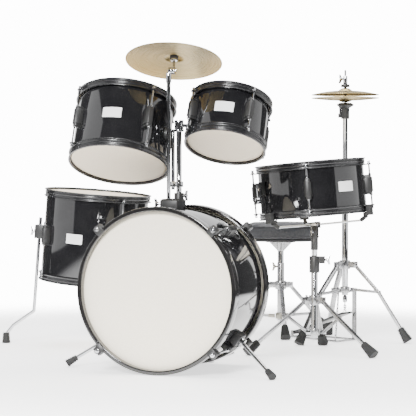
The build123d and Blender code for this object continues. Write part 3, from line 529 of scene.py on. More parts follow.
def cymbalTree():
    # bowed plate with a bell: rings of a grid bent round Z, its first map value the distance from the centre
    tree, given, result = newTree("spunCymbal", {"Radius": ("Float", 0.125), "Hole": ("Float", 0.005),
                                                 "Bell radius": ("Float", 0.024), "Bell height": ("Float", 0.008),
                                                 "Bow": ("Float", 0.009), "Groove depth": ("Float", 0.00012),
                                                 "Grooves": ("Float", 52.0)}, hasSource=False)
    grid = addNode(tree, "GeometryNodeMeshGrid")
    for label, value in (("Size X", 1.0), ("Size Y", 1.0), ("Vertices X", 260), ("Vertices Y", 145)):
        grid.inputs[label].default_value = value
    place = addNode(tree, "GeometryNodeInputPosition")
    split = addNode(tree, "ShaderNodeSeparateXYZ")
    join(tree, place.outputs[0], split.inputs[0])
    out = mathNode(tree, "ADD", split.outputs["X"], 0.5)
    turn = mathNode(tree, "MULTIPLY", split.outputs["Y"], -tau)
    reach = mathNode(tree, "SUBTRACT", given.outputs["Radius"], given.outputs["Hole"])
    radius = mathNode(tree, "ADD", mathNode(tree, "MULTIPLY", out, reach), given.outputs["Hole"])
    # bow: falls from the bell to the edge like a quarter sine
    span = mathNode(tree, "SUBTRACT", given.outputs["Radius"], given.outputs["Bell radius"])
    fromEdge = mathNode(tree, "DIVIDE", mathNode(tree, "SUBTRACT", given.outputs["Radius"], radius), span)
    fromEdge = mathNode(tree, "MINIMUM", fromEdge, 1.0)
    bow = mathNode(tree, "MULTIPLY", mathNode(tree, "SINE", mathNode(tree, "MULTIPLY", fromEdge, pi / 2)),
                   given.outputs["Bow"])
    inBell = mathNode(tree, "SUBTRACT", 1.0, mathNode(tree, "DIVIDE", radius, given.outputs["Bell radius"]))
    inBell = mathNode(tree, "MAXIMUM", inBell, 0.0)
    dome = mathNode(tree, "SUBTRACT", 1.0, mathNode(tree, "POWER", mathNode(tree, "SUBTRACT", 1.0, inBell), 2.4))
    bell = mathNode(tree, "MULTIPLY", dome, given.outputs["Bell height"])
    waves = mathNode(tree, "SINE",
                     mathNode(tree, "MULTIPLY", out, mathNode(tree, "MULTIPLY", given.outputs["Grooves"], tau)))
    groove = mathNode(tree, "MULTIPLY", waves, given.outputs["Groove depth"])
    height = mathNode(tree, "ADD", mathNode(tree, "ADD", bow, bell), groove)
    target = combined(tree, X=mathNode(tree, "MULTIPLY", radius, mathNode(tree, "COSINE", turn)),
                      Y=mathNode(tree, "MULTIPLY", radius, mathNode(tree, "SINE", turn)), Z=height)
    keep = addNode(tree, "GeometryNodeStoreNamedAttribute", data_type="FLOAT2", domain="CORNER")
    keep.inputs["Name"].default_value = "radius"
    pair = combined(tree, X=mathNode(tree, "MULTIPLY", radius, mapScale), Y=mathNode(tree, "DIVIDE", turn, tau))
    join(tree, grid.outputs["Mesh"], keep.inputs["Geometry"])
    join(tree, pair, keep.inputs["Value"])
    bend = addNode(tree, "GeometryNodeSetPosition")
    join(tree, keep.outputs["Geometry"], bend.inputs["Geometry"])
    join(tree, target, bend.inputs["Position"])
    weld = addNode(tree, "GeometryNodeMergeByDistance", Distance=0.00001)
    join(tree, bend.outputs[0], weld.inputs["Geometry"])
    smooth = addNode(tree, "GeometryNodeSetShadeSmooth")
    join(tree, weld.outputs[0], smooth.inputs["Geometry"])
    return closeTree(tree, given, result, smooth.outputs[0])


def lineTree():
    # copies of the source along Z, each turned a further step
    tree, given, result = newTree("repeatAlongLine", {"Copies": ("Int", 8), "Spacing": ("Float", 0.005),
                                                      "Turn each": ("Float", 0.0)})
    copies, index = numbered(tree, given)
    turn = mathNode(tree, "MULTIPLY", index, given.outputs["Turn each"])
    turned = spaced(tree, "GeometryNodeRotateInstances", "Rotation", copies, combined(tree, Z=turn))
    along = mathNode(tree, "MULTIPLY", index, given.outputs["Spacing"])
    shift = spaced(tree, "GeometryNodeTranslateInstances", "Translation", turned, combined(tree, Z=along))
    return closeTree(tree, given, result, shift)


def coilTree():
    # round wire wound into a helix along Z
    tree, given, result = newTree("woundCoil", {"Turns": ("Float", 12.0), "Height": ("Float", 0.09),
                                                "Coil radius": ("Float", 0.0055),
                                                "Wire": ("Float", 0.0009)}, hasSource=False)
    coil = addNode(tree, "GeometryNodeCurveSpiral")
    coil.inputs["Resolution"].default_value = 20
    for label, socket in (("Rotations", "Turns"), ("Start Radius", "Coil radius"), ("End Radius", "Coil radius"),
                          ("Height", "Height")):
        join(tree, given.outputs[socket], coil.inputs[label])
    section = addNode(tree, "GeometryNodeCurvePrimitiveCircle")
    section.inputs["Resolution"].default_value = 8
    join(tree, given.outputs["Wire"], section.inputs["Radius"])
    smooth = addNode(tree, "GeometryNodeSetShadeSmooth")
    join(tree, swept(tree, coil.outputs[0], section.outputs[0]).outputs[0], smooth.inputs["Geometry"])
    return closeTree(tree, given, result, smooth.outputs[0])


trees = {"ring": ringTree(), "grip": gripTree(), "cymbal": cymbalTree(), "line": lineTree(), "coil": coilTree()}


def grown(treeName, finish, source=None, **values):
    # runs a tree on the source mesh and returns the plain mesh that it makes
    tree = trees[treeName]
    holder = linked("holder", source or bpy.data.meshes.new("empty"))
    modifier = holder.modifiers.new("build", "NODES")
    modifier.node_group = tree
    identifiers = {item.name: item.identifier for item in tree.interface.items_tree if item.in_out == "INPUT"}
    values["Finish"] = finishes[finish]
    for label, value in values.items():
        modifier[identifiers[label.replace("_", " ")]] = value
    bpy.context.view_layer.update()
    mesh = bpy.data.meshes.new_from_object(evaluated(holder))
    holder.modifiers.remove(modifier)
    bpy.data.objects.remove(holder)
    return mesh


def ringed(finish, source, copies, firstTurn, place):
    return moved(grown("ring", finish, source, Copies=copies, First_turn=firstTurn), place)


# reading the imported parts

def partOf(points, faces):
    low = Vector([min(p[k] for p in points) for k in range(3)])
    high = Vector([max(p[k] for p in points) for k in range(3)])
    return {"points": points, "faces": faces, "low": low, "high": high, "centre": (low + high) / 2,
            "size": high - low}


def cadParts(node):
    # the loose solids of a CAD node as outlines of whole faces
    work = bmesh.new()
    work.from_mesh(frame["nodes"][node].data)
    bmesh.ops.remove_doubles(work, verts=work.verts, dist=2e-6)
    bmesh.ops.dissolve_limit(work, angle_limit=radians(0.8), verts=work.verts, edges=work.edges)
    work.verts.index_update()
    waiting = set(work.verts)
    found = []
    while waiting:
        group, fresh = set(), [waiting.pop()]
        while fresh:
            vert = fresh.pop()
            group.add(vert)
            near = [edge.other_vert(vert) for edge in vert.link_edges]
            fresh += [other for other in near if other in waiting]
            waiting -= set(near)
        order = {vert: number for number, vert in enumerate(sorted(group, key=lambda v: v.index))}
        points = [vert.co.copy() for vert in order]
        faces = [[order[v] for v in face.verts] for face in work.faces if face.verts[0] in group]
        found.append(partOf(points, faces))
    work.free()
    return sorted(found, key=lambda part: tuple(round(v, 4) for v in part["centre"]))


def refined(name, node, parts, rule, bevel=0.0005):
    # the CAD solids with eased edges, each face finished by the rule (face centre, part) -> finish
    keys, meshes = [], []
    for part in parts:
        mesh = meshOf(part["points"], part["faces"], recalculate=False)
        if bevel:
            bevelled(mesh, bevel, 2, 32)
        for face in mesh.polygons:
            key = rule(face.center, part)
            if key not in keys:
                keys.append(key)
            face.material_index = keys.index(key)
        meshes.append(mesh)
    mesh = merged(meshes)
    for key in keys:
        mesh.materials.append(finishes[key])
    piece = addPiece(name, mesh, None, bodyOf[node], node)
    return piece


def plain(name, node, finish, bevel):
    # a whole node in one finish
    return refined(name, node, cadParts(node), lambda centre, part: finish, bevel)


# drums with metal hoops

hooped = {"rim": 0.007, "reach": 0.014, "wall": 0.005, "rodRadius": 0.0024, "headWidth": 0.0066, "lugWidth": 0.020,
          "lugDepth": 0.0225, "lugLength": 0.056, "badgeWidth": 0.050, "badgeHeight": 0.028}
drumLooks = {
    "tom_left": {"piece": "leftTom", "film": "tomFilm", "badgeTurn": -83, "flange": 0.0088},
    "tom_right": {"piece": "rightTom", "film": "tomFilm", "badgeTurn": -80, "flange": 0.0100},
    "floor_tom": {"piece": "floorTom", "film": "tomFilm", "badgeTurn": -91, "flange": 0.0080},
    "snare": {"piece": "snareDrum", "film": "frontFilm", "badgeTurn": -36, "flange": 0.0080},
}


def drumPlace(prefix):
    # where the drum stands, read from its packed heads, hoops, shell and tension rods
    heads = sorted(cadParts(f"{prefix}_heads"), key=lambda part: -part["size"].length)[:2]
    low, high = sorted(heads, key=lambda part: part["centre"].z)
    axis = (high["centre"] - low["centre"]).normalized()
    reach = [(vert.co - low["centre"]).dot(axis) for vert in frame["nodes"][f"{prefix}_hoops"].data.vertices]
    place = aimed(low["centre"] + axis * min(reach), axis, (1, 0, 0))
    back = place.inverted()
    length = max(reach) - min(reach)
    radius = max((back @ vert.co).xy.length for vert in frame["nodes"][f"{prefix}_shell"].data.vertices)
    rods = [back @ part["centre"] for part in cadParts(f"{prefix}_rods")]
    upper = [rod for rod in rods if rod.z > length / 2]
    return {"place": place, "back": back, "length": length, "radius": radius, "rodAt": upper[0].xy.length,
            "copies": len(upper), "firstTurn": min(atan2(rod.y, rod.x) for rod in upper)}


def bothEnds(mesh, length):
    # the mesh and its mirror image at the other end of the drum
    flip = Matrix.Translation((0, 0, length)) @ Matrix.Diagonal((1, 1, -1, 1))
    return merged([mesh, moved(mesh.copy(), flip)])


def shellMesh(radius, wall, low, high):
    outline = [(radius - wall, low), (radius, low), (radius, high), (radius - wall, high)]
    return lathe(softened(outline, 0.0012), 192)


def filmMesh(radius, edge):
    # stretched film with a rolled collar, over the bearing edge
    skin = 0.00035
    outline = [(0, edge + 0.0010), (radius - 0.012, edge + 0.0010), (radius - 0.004, edge + 0.0008),
               (radius - 0.0005, edge - 0.0001), (radius + 0.0012, edge - 0.0022), (radius + 0.0014, edge - 0.0075),
               (radius + 0.0014 - skin, edge - 0.0075), (radius + 0.0012 - skin, edge - 0.0022),
               (radius - 0.0008, edge - 0.0004), (radius - 0.004, edge + 0.0008 - skin), (0, edge + 0.0010 - skin)]
    return lathe(outline, 160, 60)


def hoopMesh(radius, flange, edge, length):
    # flanged steel hoop: a lip at the top, a wall, and a flange below it
    inner = radius + 0.0026
    wall = 0.0019
    low = edge - hooped["reach"]
    outline = [(inner, low + 0.001), (inner + 0.002, low), (radius + flange, low), (radius + flange, low + 0.0018),
               (inner + wall + 0.001, low + 0.0022), (inner + wall, low + 0.004), (inner + wall, edge - 0.005),
               (inner + wall + 0.0012, edge - 0.0035), (inner + wall + 0.0012, edge - 0.0012),
               (inner + wall, edge + 0.0004), (inner + wall, length - 0.0034), (inner + 0.0050, length - 0.0026),
               (inner + 0.0054, length - 0.0012), (inner + 0.0044, length), (inner + 0.0010, length),
               (inner, length - 0.001)]
    return lathe(softened(outline, 0.0006, 2), 160, 50)


def earMesh(radius, rodAt, low):
    # tab with a rounded end that the tension rod passes through
    width, tip = 0.0068, rodAt
    outline = [(radius + 0.0036, -width - 0.003), (radius + 0.008, -width)]
    outline += [(tip + width * cos(turn), width * sin(turn)) for turn in [radians(-90 + 18 * k) for k in range(11)]]
    outline += [(radius + 0.008, width), (radius + 0.0036, width + 0.003)]
    return prism(outline, low, low + 0.0024, 0.0005)


def lugMesh(radius, middle, lugLength):
    # cast lug: a wide body and narrower ends
    half, width, depth = lugLength / 2, hooped["lugWidth"] / 2, hooped["lugDepth"]
    inside = radius - 0.0006
    body = mirrored([(inside, -width), (radius + depth * 0.62, -width), (radius + depth * 0.93, -width * 0.62),
                     (radius + depth, 0)])
    ends = mirrored([(inside, -width * 0.74), (radius + depth * 0.72, -width * 0.74),
                     (radius + depth * 0.88, -width * 0.4)])
    return merged([prism(body, middle - half + 0.007, middle + half - 0.007, 0.0016, 3),
                   prism(ends, middle - half, middle + half, 0.0012, 3)])


def rodMesh(rodAt, start, ear):
    # tension rod, washer and square head, on the rod's own axis
    radius = hooped["rodRadius"]
    shaft = disc(radius, start, ear + 0.0024, 0.0004, 20)
    ferrule = disc(0.0041, start + 0.001, start + 0.005, 0.0006, 24)
    washer = disc(0.0054, ear + 0.0024, ear + 0.0038, 0.0004, 28)
    collar = disc(0.0044, ear + 0.0038, ear + 0.0052, 0.0004, 28)
    half = hooped["headWidth"] / 2
    head = block((-half, -half, ear + 0.0052), (half, half, ear + 0.0118), 0.0008)
    return shifted(merged([shaft, ferrule, washer, collar, head]), rodAt)


def curvedPlate(radius, width, height, thickness, turn, middle, columns=16):
    # plate bent to the shell, with clipped corners
    points, faces = [], []
    corner = 0.0008
    for k in range(columns + 1):
        part = k / columns
        angle = turn + (part - 0.5) * width / radius
        fromEnd = min(part, 1 - part) * width
        half = height / 2 - max(0.0, corner - sqrt(max(0.0, corner ** 2 - (corner - min(fromEnd, corner)) ** 2)))
        for out, z in ((radius - 0.0003, -half), (radius + thickness, -half), (radius + thickness, half),
                       (radius - 0.0003, half)):
            points.append((out * cos(angle), out * sin(angle), middle + z))
    for k in range(columns):
        for side in range(4):
            after = (side + 1) % 4
            faces.append([4 * k + side, 4 * k + after, 4 * k + 4 + after, 4 * k + 4 + side])
    faces += [[0, 1, 2, 3], [4 * columns + side for side in (3, 2, 1, 0)]]
    return bevelled(meshOf(points, faces), 0.00025, 1, 50)


def hoopedDrum(prefix):
    look = drumLooks[prefix]
    drum = drumPlace(prefix)
    place, length, radius = drum["place"], drum["length"], drum["radius"]
    edge = length - hooped["rim"]
    middle = length / 2
    body = bodyOf[f"{prefix}_shell"]
    piece = look["piece"]
    low = hooped["rim"] + 0.0006
    addPiece(f"{piece}Shell", moved(shellMesh(radius, hooped["wall"], low, length - low), place), "glossWrap", body,
             f"{prefix}_shell")
    addPiece(f"{piece}Heads", moved(bothEnds(filmMesh(radius, edge), length), place), look["film"], body,
             f"{prefix}_heads")
    band = [(radius + 0.0015, edge - 0.009), (radius + 0.0024, edge - 0.009), (radius + 0.0024, edge - 0.0012),
            (radius + 0.0015, edge - 0.0012)]
    addPiece(f"{piece}FleshHoops", moved(bothEnds(lathe(softened(band, 0.0003), 128), length), place), "fleshHoop",
             body)
    ear = edge - hooped["reach"]
    hoop = bothEnds(hoopMesh(radius, look["flange"], edge, length), length)
    addPiece(f"{piece}Hoops", moved(hoop, place), "hoopPaint", body, f"{prefix}_hoops")
    tabs = bothEnds(earMesh(radius, drum["rodAt"], ear), length)
    addPiece(f"{piece}HoopEars", ringed("hoopPaint", tabs, drum["copies"], drum["firstTurn"], place), "hoopPaint",
             body)
    lug = lugMesh(radius, middle, hooped["lugLength"])
    addPiece(f"{piece}Lugs", ringed("moulded", lug, drum["copies"], drum["firstTurn"], place), "moulded", body,
             f"{prefix}_lugs")
    rods = bothEnds(rodMesh(drum["rodAt"], middle + hooped["lugLength"] / 2 - 0.002, ear), length)
    addPiece(f"{piece}Rods", ringed("chrome", rods, drum["copies"], drum["firstTurn"], place), "chrome", body,
             f"{prefix}_rods")
    badge = curvedPlate(radius, hooped["badgeWidth"], hooped["badgeHeight"], 0.0009, radians(look["badgeTurn"]),
                        middle)
    addPiece(f"{piece}Badge", moved(badge, place), "badge", body)
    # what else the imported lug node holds: brackets, screws and the strainer's housing
    extra = []
    for part in cadParts(f"{prefix}_lugs"):
        local = drum["back"] @ part["centre"]
        step = (atan2(local.y, local.x) - drum["firstTurn"]) % (tau / drum["copies"])
        isLug = min(step, tau / drum["copies"] - step) < radians(3) and abs(local.z - middle) < 0.004
        if not isLug:
            extra.append(part)
    if extra:
        def rule(centre, part):
            return "chrome" if part["size"].length < 0.048 and prefix != "snare" else "moulded"
        refined(f"{piece}Brackets", f"{prefix}_lugs", extra, rule)
    print("drum", piece, len(extra), "bracket parts")
    return drum


drums = {prefix: hoopedDrum(prefix) for prefix in drumLooks}


# bass drum

bass = {"headRecess": 0.020, "wall": 0.006, "hoopWidth": 0.034, "lugTurns": 4, "firstLug": 45, "rodOffset": 0.016,
        "lugLength": 0.064, "rodRadius": 0.0026}


def bassPlace():
    low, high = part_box("bass_hoops")
    middle = (low + high) / 2
    place = Matrix(((1, 0, 0, middle.x), (0, 0, 1, low.y), (0, -1, 0, middle.z), (0, 0, 0, 1)))
    shellLow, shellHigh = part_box("bass_shell")
    return place, high.y - low.y, (high.x - low.x) / 2, (shellHigh.x - shellLow.x) / 2


def bassDrum():
    place, length, hoopRadius, radius = bassPlace()
    body = bodyOf["bass_shell"]
    first = bass["headRecess"]
    shell = shellMesh(radius, bass["wall"], first, length - first)
    addPiece("bassShell", moved(shell, place), "glossWrap", body, "bass_shell")
    skirt = radius + 0.0016
    film = [(0, first - 0.0012), (radius - 0.014, first - 0.0012), (radius - 0.005, first - 0.0010),
            (radius - 0.001, first), (skirt - 0.0003, first + 0.002), (skirt - 0.0003, first + 0.009),
            (skirt - 0.0007, first + 0.009), (skirt - 0.0007, first + 0.0024), (radius - 0.0016, first + 0.0005),
            (radius - 0.006, first - 0.0006), (0, first - 0.0008)]
    addPiece("bassHeads", moved(bothEnds(lathe(film, 192, 60), length), place), "frontFilm", body, "bass_heads")
    inner = radius - 0.002
    hoop = [(inner, 0), (hoopRadius, 0), (hoopRadius, bass["hoopWidth"]), (skirt + 0.0004, bass["hoopWidth"]),
            (skirt + 0.0004, first - 0.0014), (inner, first - 0.0014)]
    hoops = bothEnds(lathe(softened(hoop, 0.0034, 5), 220, 60), length)
    addPiece("bassHoops", moved(hoops, place), "lacquer", body, "bass_hoops")
    rodAt = radius + bass["rodOffset"]
    middle = length / 2
    half = bass["lugLength"] / 2
    inside = radius - 0.0008
    lugBody = mirrored([(inside, -0.011), (radius + 0.010, -0.011), (radius + 0.019, -0.0085),
                        (radius + 0.0215, 0)])
    lugEnds = mirrored([(inside, -0.0082), (radius + 0.015, -0.0082), (radius + 0.0205, -0.0045)])
    lug = merged([prism(lugBody, middle - half + 0.012, middle + half - 0.012, 0.0018, 3),
                  prism(lugEnds, middle - half, middle + half, 0.0014, 3)])
    turn = radians(bass["firstLug"])
    addPiece("bassLugs", ringed("moulded", lug, bass["lugTurns"], turn, place), "moulded", body, "bass_lugs")
    # claw: side outline of radius and depth, made as wide as its two ribs
    claw = [(inner + 0.001, -0.0004), (inner + 0.001, -0.0030), (hoopRadius - 0.003, -0.0052),
            (rodAt - 0.001, -0.0056), (rodAt + 0.006, -0.0040), (rodAt + 0.0082, 0.0020),
            (rodAt + 0.0078, 0.016), (rodAt + 0.004, 0.022),
            (hoopRadius + 0.0005, 0.022), (hoopRadius + 0.0005, -0.0004)]
    standing = Matrix(((1, 0, 0, 0), (0, 0, 1, 0), (0, 1, 0, 0), (0, 0, 0, 1)))
    clawMesh = merged([moved(prism(claw, -0.0108, 0.0108, 0.0010), standing),
                       shifted(lathe(softened([(0, -0.0066), (0.0078, -0.0066), (0.0086, -0.0048), (0, -0.0048)],
                                              0.0005), 32), rodAt)])
    claws = bothEnds(clawMesh, length)
    addPiece("bassClaws", ringed("moulded", claws, bass["lugTurns"], turn, place), "moulded", body)
    rodRadius = bass["rodRadius"]
    shaft = disc(rodRadius, -0.006, middle - half + 0.002, 0.0004, 20)
    ferrule = disc(0.0046, middle - half - 0.004, middle - half + 0.001, 0.0007, 28)
    cup = lathe(softened([(0, -0.0084), (0.0042, -0.0084), (0.0042, -0.0078), (0.0060, -0.0078), (0.0066, -0.0062),
                          (0, -0.0062)], 0.0005), 32)
    head = block((-0.0031, -0.0031, -0.0099), (0.0031, 0.0031, -0.0080), 0.0006)
    screws = bothEnds(shifted(merged([shaft, ferrule, cup, head]), rodAt), length)
    addPiece("bassTensionRods", ringed("chrome", screws, bass["lugTurns"], turn, place), "chrome", body)

    def bracketRule(centre, part):
        return "chrome" if part["size"].length < 0.045 else "moulded"
    refined("bassBrackets", "bass_brackets", cadParts("bass_brackets"), bracketRule, 0.0012)
    print("bass drum", round(radius, 4))


bassDrum()


# rubber feet and tripods

def jointNamed(name):
    return next(joint for joint in frame["joints"] if joint["name"] == name)


def footAt(name, node, start, run, length, topRadius, footRadius, ribs=9.0):
    # ribbed rubber foot from start along run, cut level at the floor
    foot = grown("grip", "rubber", Length=length, Top_radius=topRadius, Foot_radius=footRadius, Ribs=ribs,
                 Rib_depth=topRadius * footSizes["ribDepth"])
    moved(foot, aimed(start, run))
    work = bmesh.new()
    work.from_mesh(foot)
    whole = work.verts[:] + work.edges[:] + work.faces[:]
    cut = bmesh.ops.bisect_plane(work, geom=whole, plane_co=(0, 0, 0.0002), plane_no=(0, 0, -1), clear_outer=True)
    rim = [item for item in cut["geom_cut"] if isinstance(item, bmesh.types.BMEdge)]
    if rim:
        bmesh.ops.holes_fill(work, edges=rim, sides=0)
    bmesh.ops.recalc_face_normals(work, faces=work.faces)
    work.to_mesh(foot)
    work.free()
    return addPiece(name, shaded(foot), "rubber", bodyOf[node])


def trimmed(part, origin, direction):
    # the part without anything beyond a plane, closed where it was cut
    work = bmesh.new()
    verts = [work.verts.new(point) for point in part["points"]]
    for face in part["faces"]:
        if work.faces.get([verts[index] for index in face]) is None:
            work.faces.new([verts[index] for index in face])
    whole = work.verts[:] + work.edges[:] + work.faces[:]
    bmesh.ops.bisect_plane(work, geom=whole, plane_co=origin, plane_no=direction, clear_outer=True)
    rim = [edge for edge in work.edges if len(edge.link_faces) == 1]
    if rim:
        bmesh.ops.holes_fill(work, edges=rim, sides=0)
    bmesh.ops.delete(work, geom=[vert for vert in work.verts if not vert.link_faces], context="VERTS")
    work.verts.index_update()
    points = [vert.co.copy() for vert in work.verts]
    faces = [[vert.index for vert in face.verts] for face in work.faces]
    work.free()
    return partOf(points, faces)


# rivet and foot of each tripod's leg, as distance from the tube and height
tripods = {
    "snare": {"rivet": (0.082, 0.104), "foot": (0.196, 0.016)},
    "hihat": {"rivet": (0.104, 0.150), "foot": (0.188, 0.016)},
    "throne": {"rivet": (0.132, 0.060), "foot": (0.176, 0.016)},
}
footSizes = {"beyond": 0.012, "length": 0.044, "top": 0.0105, "end": 0.016, "ribDepth": 0.17}


def footedLeg(name, node, part, centre, sizes):
    # the leg up to its foot, and the foot as a piece of its own
    low = [point for point in part["points"] if point.z < 0.004]
    out = (sum(low, Vector()) / len(low)) - Vector((centre.x, centre.y, 0))
    out = Vector((out.x, out.y, 0)).normalized()
    (nearAt, nearUp), (farAt, farUp) = sizes["rivet"], sizes["foot"]
    run = (out * (farAt - nearAt) + Vector((0, 0, farUp - nearUp))).normalized()
    tip = Vector((centre.x, centre.y, farUp)) + out * farAt + run * footSizes["beyond"]
    start = tip - run * footSizes["length"]
    footAt(f"{name}Foot", node, start - run * 0.001, run, footSizes["length"] + 0.001, footSizes["top"],
           footSizes["end"])
    return trimmed(part, start - run * 0.0003, run)


def isLeg(part):
    # a tripod's leg, which reaches from the floor up to its pivot
    return part["low"].z < 0.002 and part["size"].z > 0.15 and len(part["faces"]) < 300


def splitFeet(name, node, centre, kind, rule, bevel):
    # refines a node and gives each of its rubber feet a ribbed piece of its own
    parts = []
    for part in cadParts(node):
        if isLeg(part):
            part = footedLeg(f"{name}{len(parts)}", node, part, centre, tripods[kind])
        parts.append(part)
    return refined(name, node, parts, rule, bevel)


def small(part, limit=0.045):
    return part["size"].length < limit


snareCentre = sum((Vector(jointNamed(f"snare_strut_{number}_fold")["pos_m"]) for number in (1, 2, 3)), Vector()) / 3


def floorLeg(number):
    node = f"floor_tom_leg_{number}"
    part = cadParts(node)[0]
    low = [point for point in part["points"] if point.z < 0.0005]
    heel = sum(low, Vector()) / len(low)
    top = Vector((heel.x, heel.y, 0.030))
    footAt(f"floorTomLeg{number}Foot", node, top + Vector((0, 0, 0.001)), (0, 0, -1), 0.031, 0.0100, 0.0130, 7.0)
    refined(f"floorTomLeg{number}", node, [trimmed(part, top + Vector((0, 0, 0.0003)), (0, 0, -1))],
            lambda centre, part: "chrome", 0.0)


for number in (1, 2, 3):
    splitFeet(f"snareStandLeg{number}", f"snare_stand_leg_{number}", snareCentre, "snare",
              lambda centre, part: "satin", 0.0012)
    plain(f"snareStandStrut{number}", f"snare_stand_strut_{number}", "satin", 0.0004)
    floorLeg(number)


def snareStand():
    def tubeRule(centre, part):
        if part["low"].z > 0.2 or part["centre"].z > 0.22:
            return "chrome" if small(part) else "moulded"
        return "satin" if (centre - part["centre"]).xy.length > 0.0102 else "chrome"
    refined("snareStandTube", "snare_stand_tube", cadParts("snare_stand_tube"), tubeRule, 0.0006)

    def neckRule(centre, part):
        if small(part):
            return "chrome"
        return "moulded" if centre.z > 0.2925 and part["size"].z > 0.1 else "chrome"
    refined("snareStandRod", "snare_stand_rod", cadParts("snare_stand_rod"), neckRule, 0.0006)
    drum = drums["snare"]
    clawFrom = drum["radius"] - 0.006

    def basketRule(centre, part):
        local = drum["back"] @ centre
        if local.xy.length > clawFrom - 0.009:
            return "rubber"
        return "chrome" if local.xy.length > 0.0155 and local.z > -0.028 else "moulded"
    refined("snareBasket", "snare_basket", cadParts("snare_basket"), basketRule, 0.0010)
    refined("snareStandCollar", "snare_stand_collar", cadParts("snare_stand_collar"),
            lambda centre, part: "chrome" if small(part) else "satin", 0.0006)
    plain("snareThrowOff", "snare_throw_off", "chrome", 0.0010)


snareStand()


def snareWires():
    # coiled wires across the lower head, with their end plates
    drum = drums["snare"]
    sizes = {"wires": 12, "spacing": 0.0034, "length": 0.262, "coil": 0.0011, "wire": 0.00035, "height": 0.0041,
             "turns": 90.0, "endAt": 0.133}
    wire = grown("coil", "chrome", Turns=sizes["turns"], Height=sizes["length"], Coil_radius=sizes["coil"],
                 Wire=sizes["wire"])
    shifted(wire, z=-sizes["length"] / 2)
    row = grown("line", "chrome", moved(wire, aimed((0, 0, 0), (0, 1, 0)).inverted()), Copies=sizes["wires"],
                Spacing=sizes["spacing"], Turn_each=0.0)
    # the row grows along Z: lay it flat under the head, wires along the drum's X
    width = sizes["spacing"] * (sizes["wires"] - 1)
    lay = Matrix(((0, 1, 0, 0), (0, 0, 1, -width / 2), (1, 0, 0, sizes["height"]), (0, 0, 0, 1)))
    addPiece("snareWires", moved(moved(row, lay), drum["place"]), "chrome", bodyOf["snare_heads"])
    ends = [block((at - 0.003, -0.022, 0.0034), (at + 0.003, 0.022, 0.0048), 0.0004)
            for at in (-sizes["endAt"], sizes["endAt"])]
    addPiece("snareWireEnds", moved(merged(ends), drum["place"]), "chrome", bodyOf["snare_heads"])


snareWires()
print("snare stand and legs")


# tom holder, crash cymbal

for side, node in (("Left", "bass_spur_left"), ("Right", "bass_spur_right")):
    parts = sorted(cadParts(node), key=lambda part: part["centre"].z)
    tip = parts[0]
    run = (tip["centre"] - parts[1]["centre"]).normalized()
    reach = [(point - tip["centre"]).dot(run) for point in tip["points"]]
    first = tip["centre"] + run * min(reach)
    ends = [(point - first - run * (point - first).dot(run)).length for point in tip["points"]]
    footAt(f"bassSpur{side}Tip", node, first, run, max(reach) - min(reach), max(ends) * 0.72, max(ends) * 0.96, 5.0)
    refined(f"bassSpur{side}", node, parts[1:], lambda centre, part: "chrome", 0.0008)
for piece, node in (("tomPost", "tom_post"), ("leftTomArm", "tom_arm_left"), ("rightTomArm", "tom_arm_right"),
                    ("crashPole", "crash_pole")):
    plain(piece, node, "chrome", 0.0008)


cymbals = {
    "crash": {"node": "crash_cymbal", "joint": "crash_spin", "radius": 0.125, "hole": 0.0048, "bellRadius": 0.026,
              "bellHeight": 0.008, "bow": 0.009, "thickness": 0.0011, "grooves": 46.0, "flip": False},
    "hihatTop": {"node": "hihat_top_cymbal", "joint": "hihat_top_spin", "radius": 0.1016, "hole": 0.0048,
                 "bellRadius": 0.022, "bellHeight": 0.009, "bow": 0.011, "thickness": 0.001, "grooves": 38.0,
                 "flip": False},
    "hihatBottom": {"node": "hihat_bottom_cymbal", "joint": "hihat_bottom_spin", "radius": 0.1016, "hole": 0.0048,
                    "bellRadius": 0.022, "bellHeight": 0.0065, "bow": 0.006, "thickness": 0.001, "grooves": 38.0,
                    "flip": True},
}


def cymbalPiece(name):
    sizes = cymbals[name]
    joint = jointNamed(sizes["joint"])
    plate = grown("cymbal", "brass", Radius=sizes["radius"], Hole=sizes["hole"], Bell_radius=sizes["bellRadius"],
                  Bell_height=sizes["bellHeight"], Bow=sizes["bow"], Grooves=sizes["grooves"], Groove_depth=0.00011)
    place = aimed(joint["pos_m"], joint["axis"])
    if sizes["flip"]:
        place = place @ Matrix.Translation((0, 0, sizes["thickness"])) @ Matrix.Rotation(pi, 4, "X")
    piece = addPiece(f"{name}Cymbal", moved(plate, place), "brass", bodyOf[sizes["node"]], sizes["node"])
    solid = piece.modifiers.new("thickness", "SOLIDIFY")
    solid.thickness = sizes["thickness"]
    solid.offset = 1.0
    return piece


for name in cymbals:
    cymbalPiece(name)


def crashFittings():
    spin = jointNamed("crash_spin")
    centre, axis = Vector(spin["pos_m"]), Vector(spin["axis"])

    def rule(point, part):
        along = (part["centre"] - centre).dot(axis)
        return "felt" if part["size"].length < 0.05 and along < 0.026 else "chrome"
    refined("crashTilter", "crash_tilter", cadParts("crash_tilter"), rule, 0.0007)


crashFittings()
print("holder and cymbals")


# hi-hat

chainSizes = {"link": 0.0058, "wire": 0.0011, "pitch": 0.0070}


def linkMesh(link, wire, sides=7, steps=16):
    # one oval chain link standing along Z
    points, faces = [], []
    for k in range(steps):
        angle = tau * k / steps
        stretch = link * 0.42 if sin(angle) > 0 else -link * 0.42
        centre = Vector((link * 0.55 * cos(angle), 0, link * 0.55 * sin(angle) + stretch))
        out = Vector((cos(angle), 0, sin(angle)))
        for s in range(sides):
            around = tau * s / sides
            points.append(centre + out * wire * cos(around) + Vector((0, wire * sin(around), 0)))
    for k in range(steps):
        for s in range(sides):
            after, nextStep = (s + 1) % sides, (k + 1) % steps
            faces.append([k * sides + s, k * sides + after, nextStep * sides + after, nextStep * sides + s])
    return meshOf(points, faces, 80)


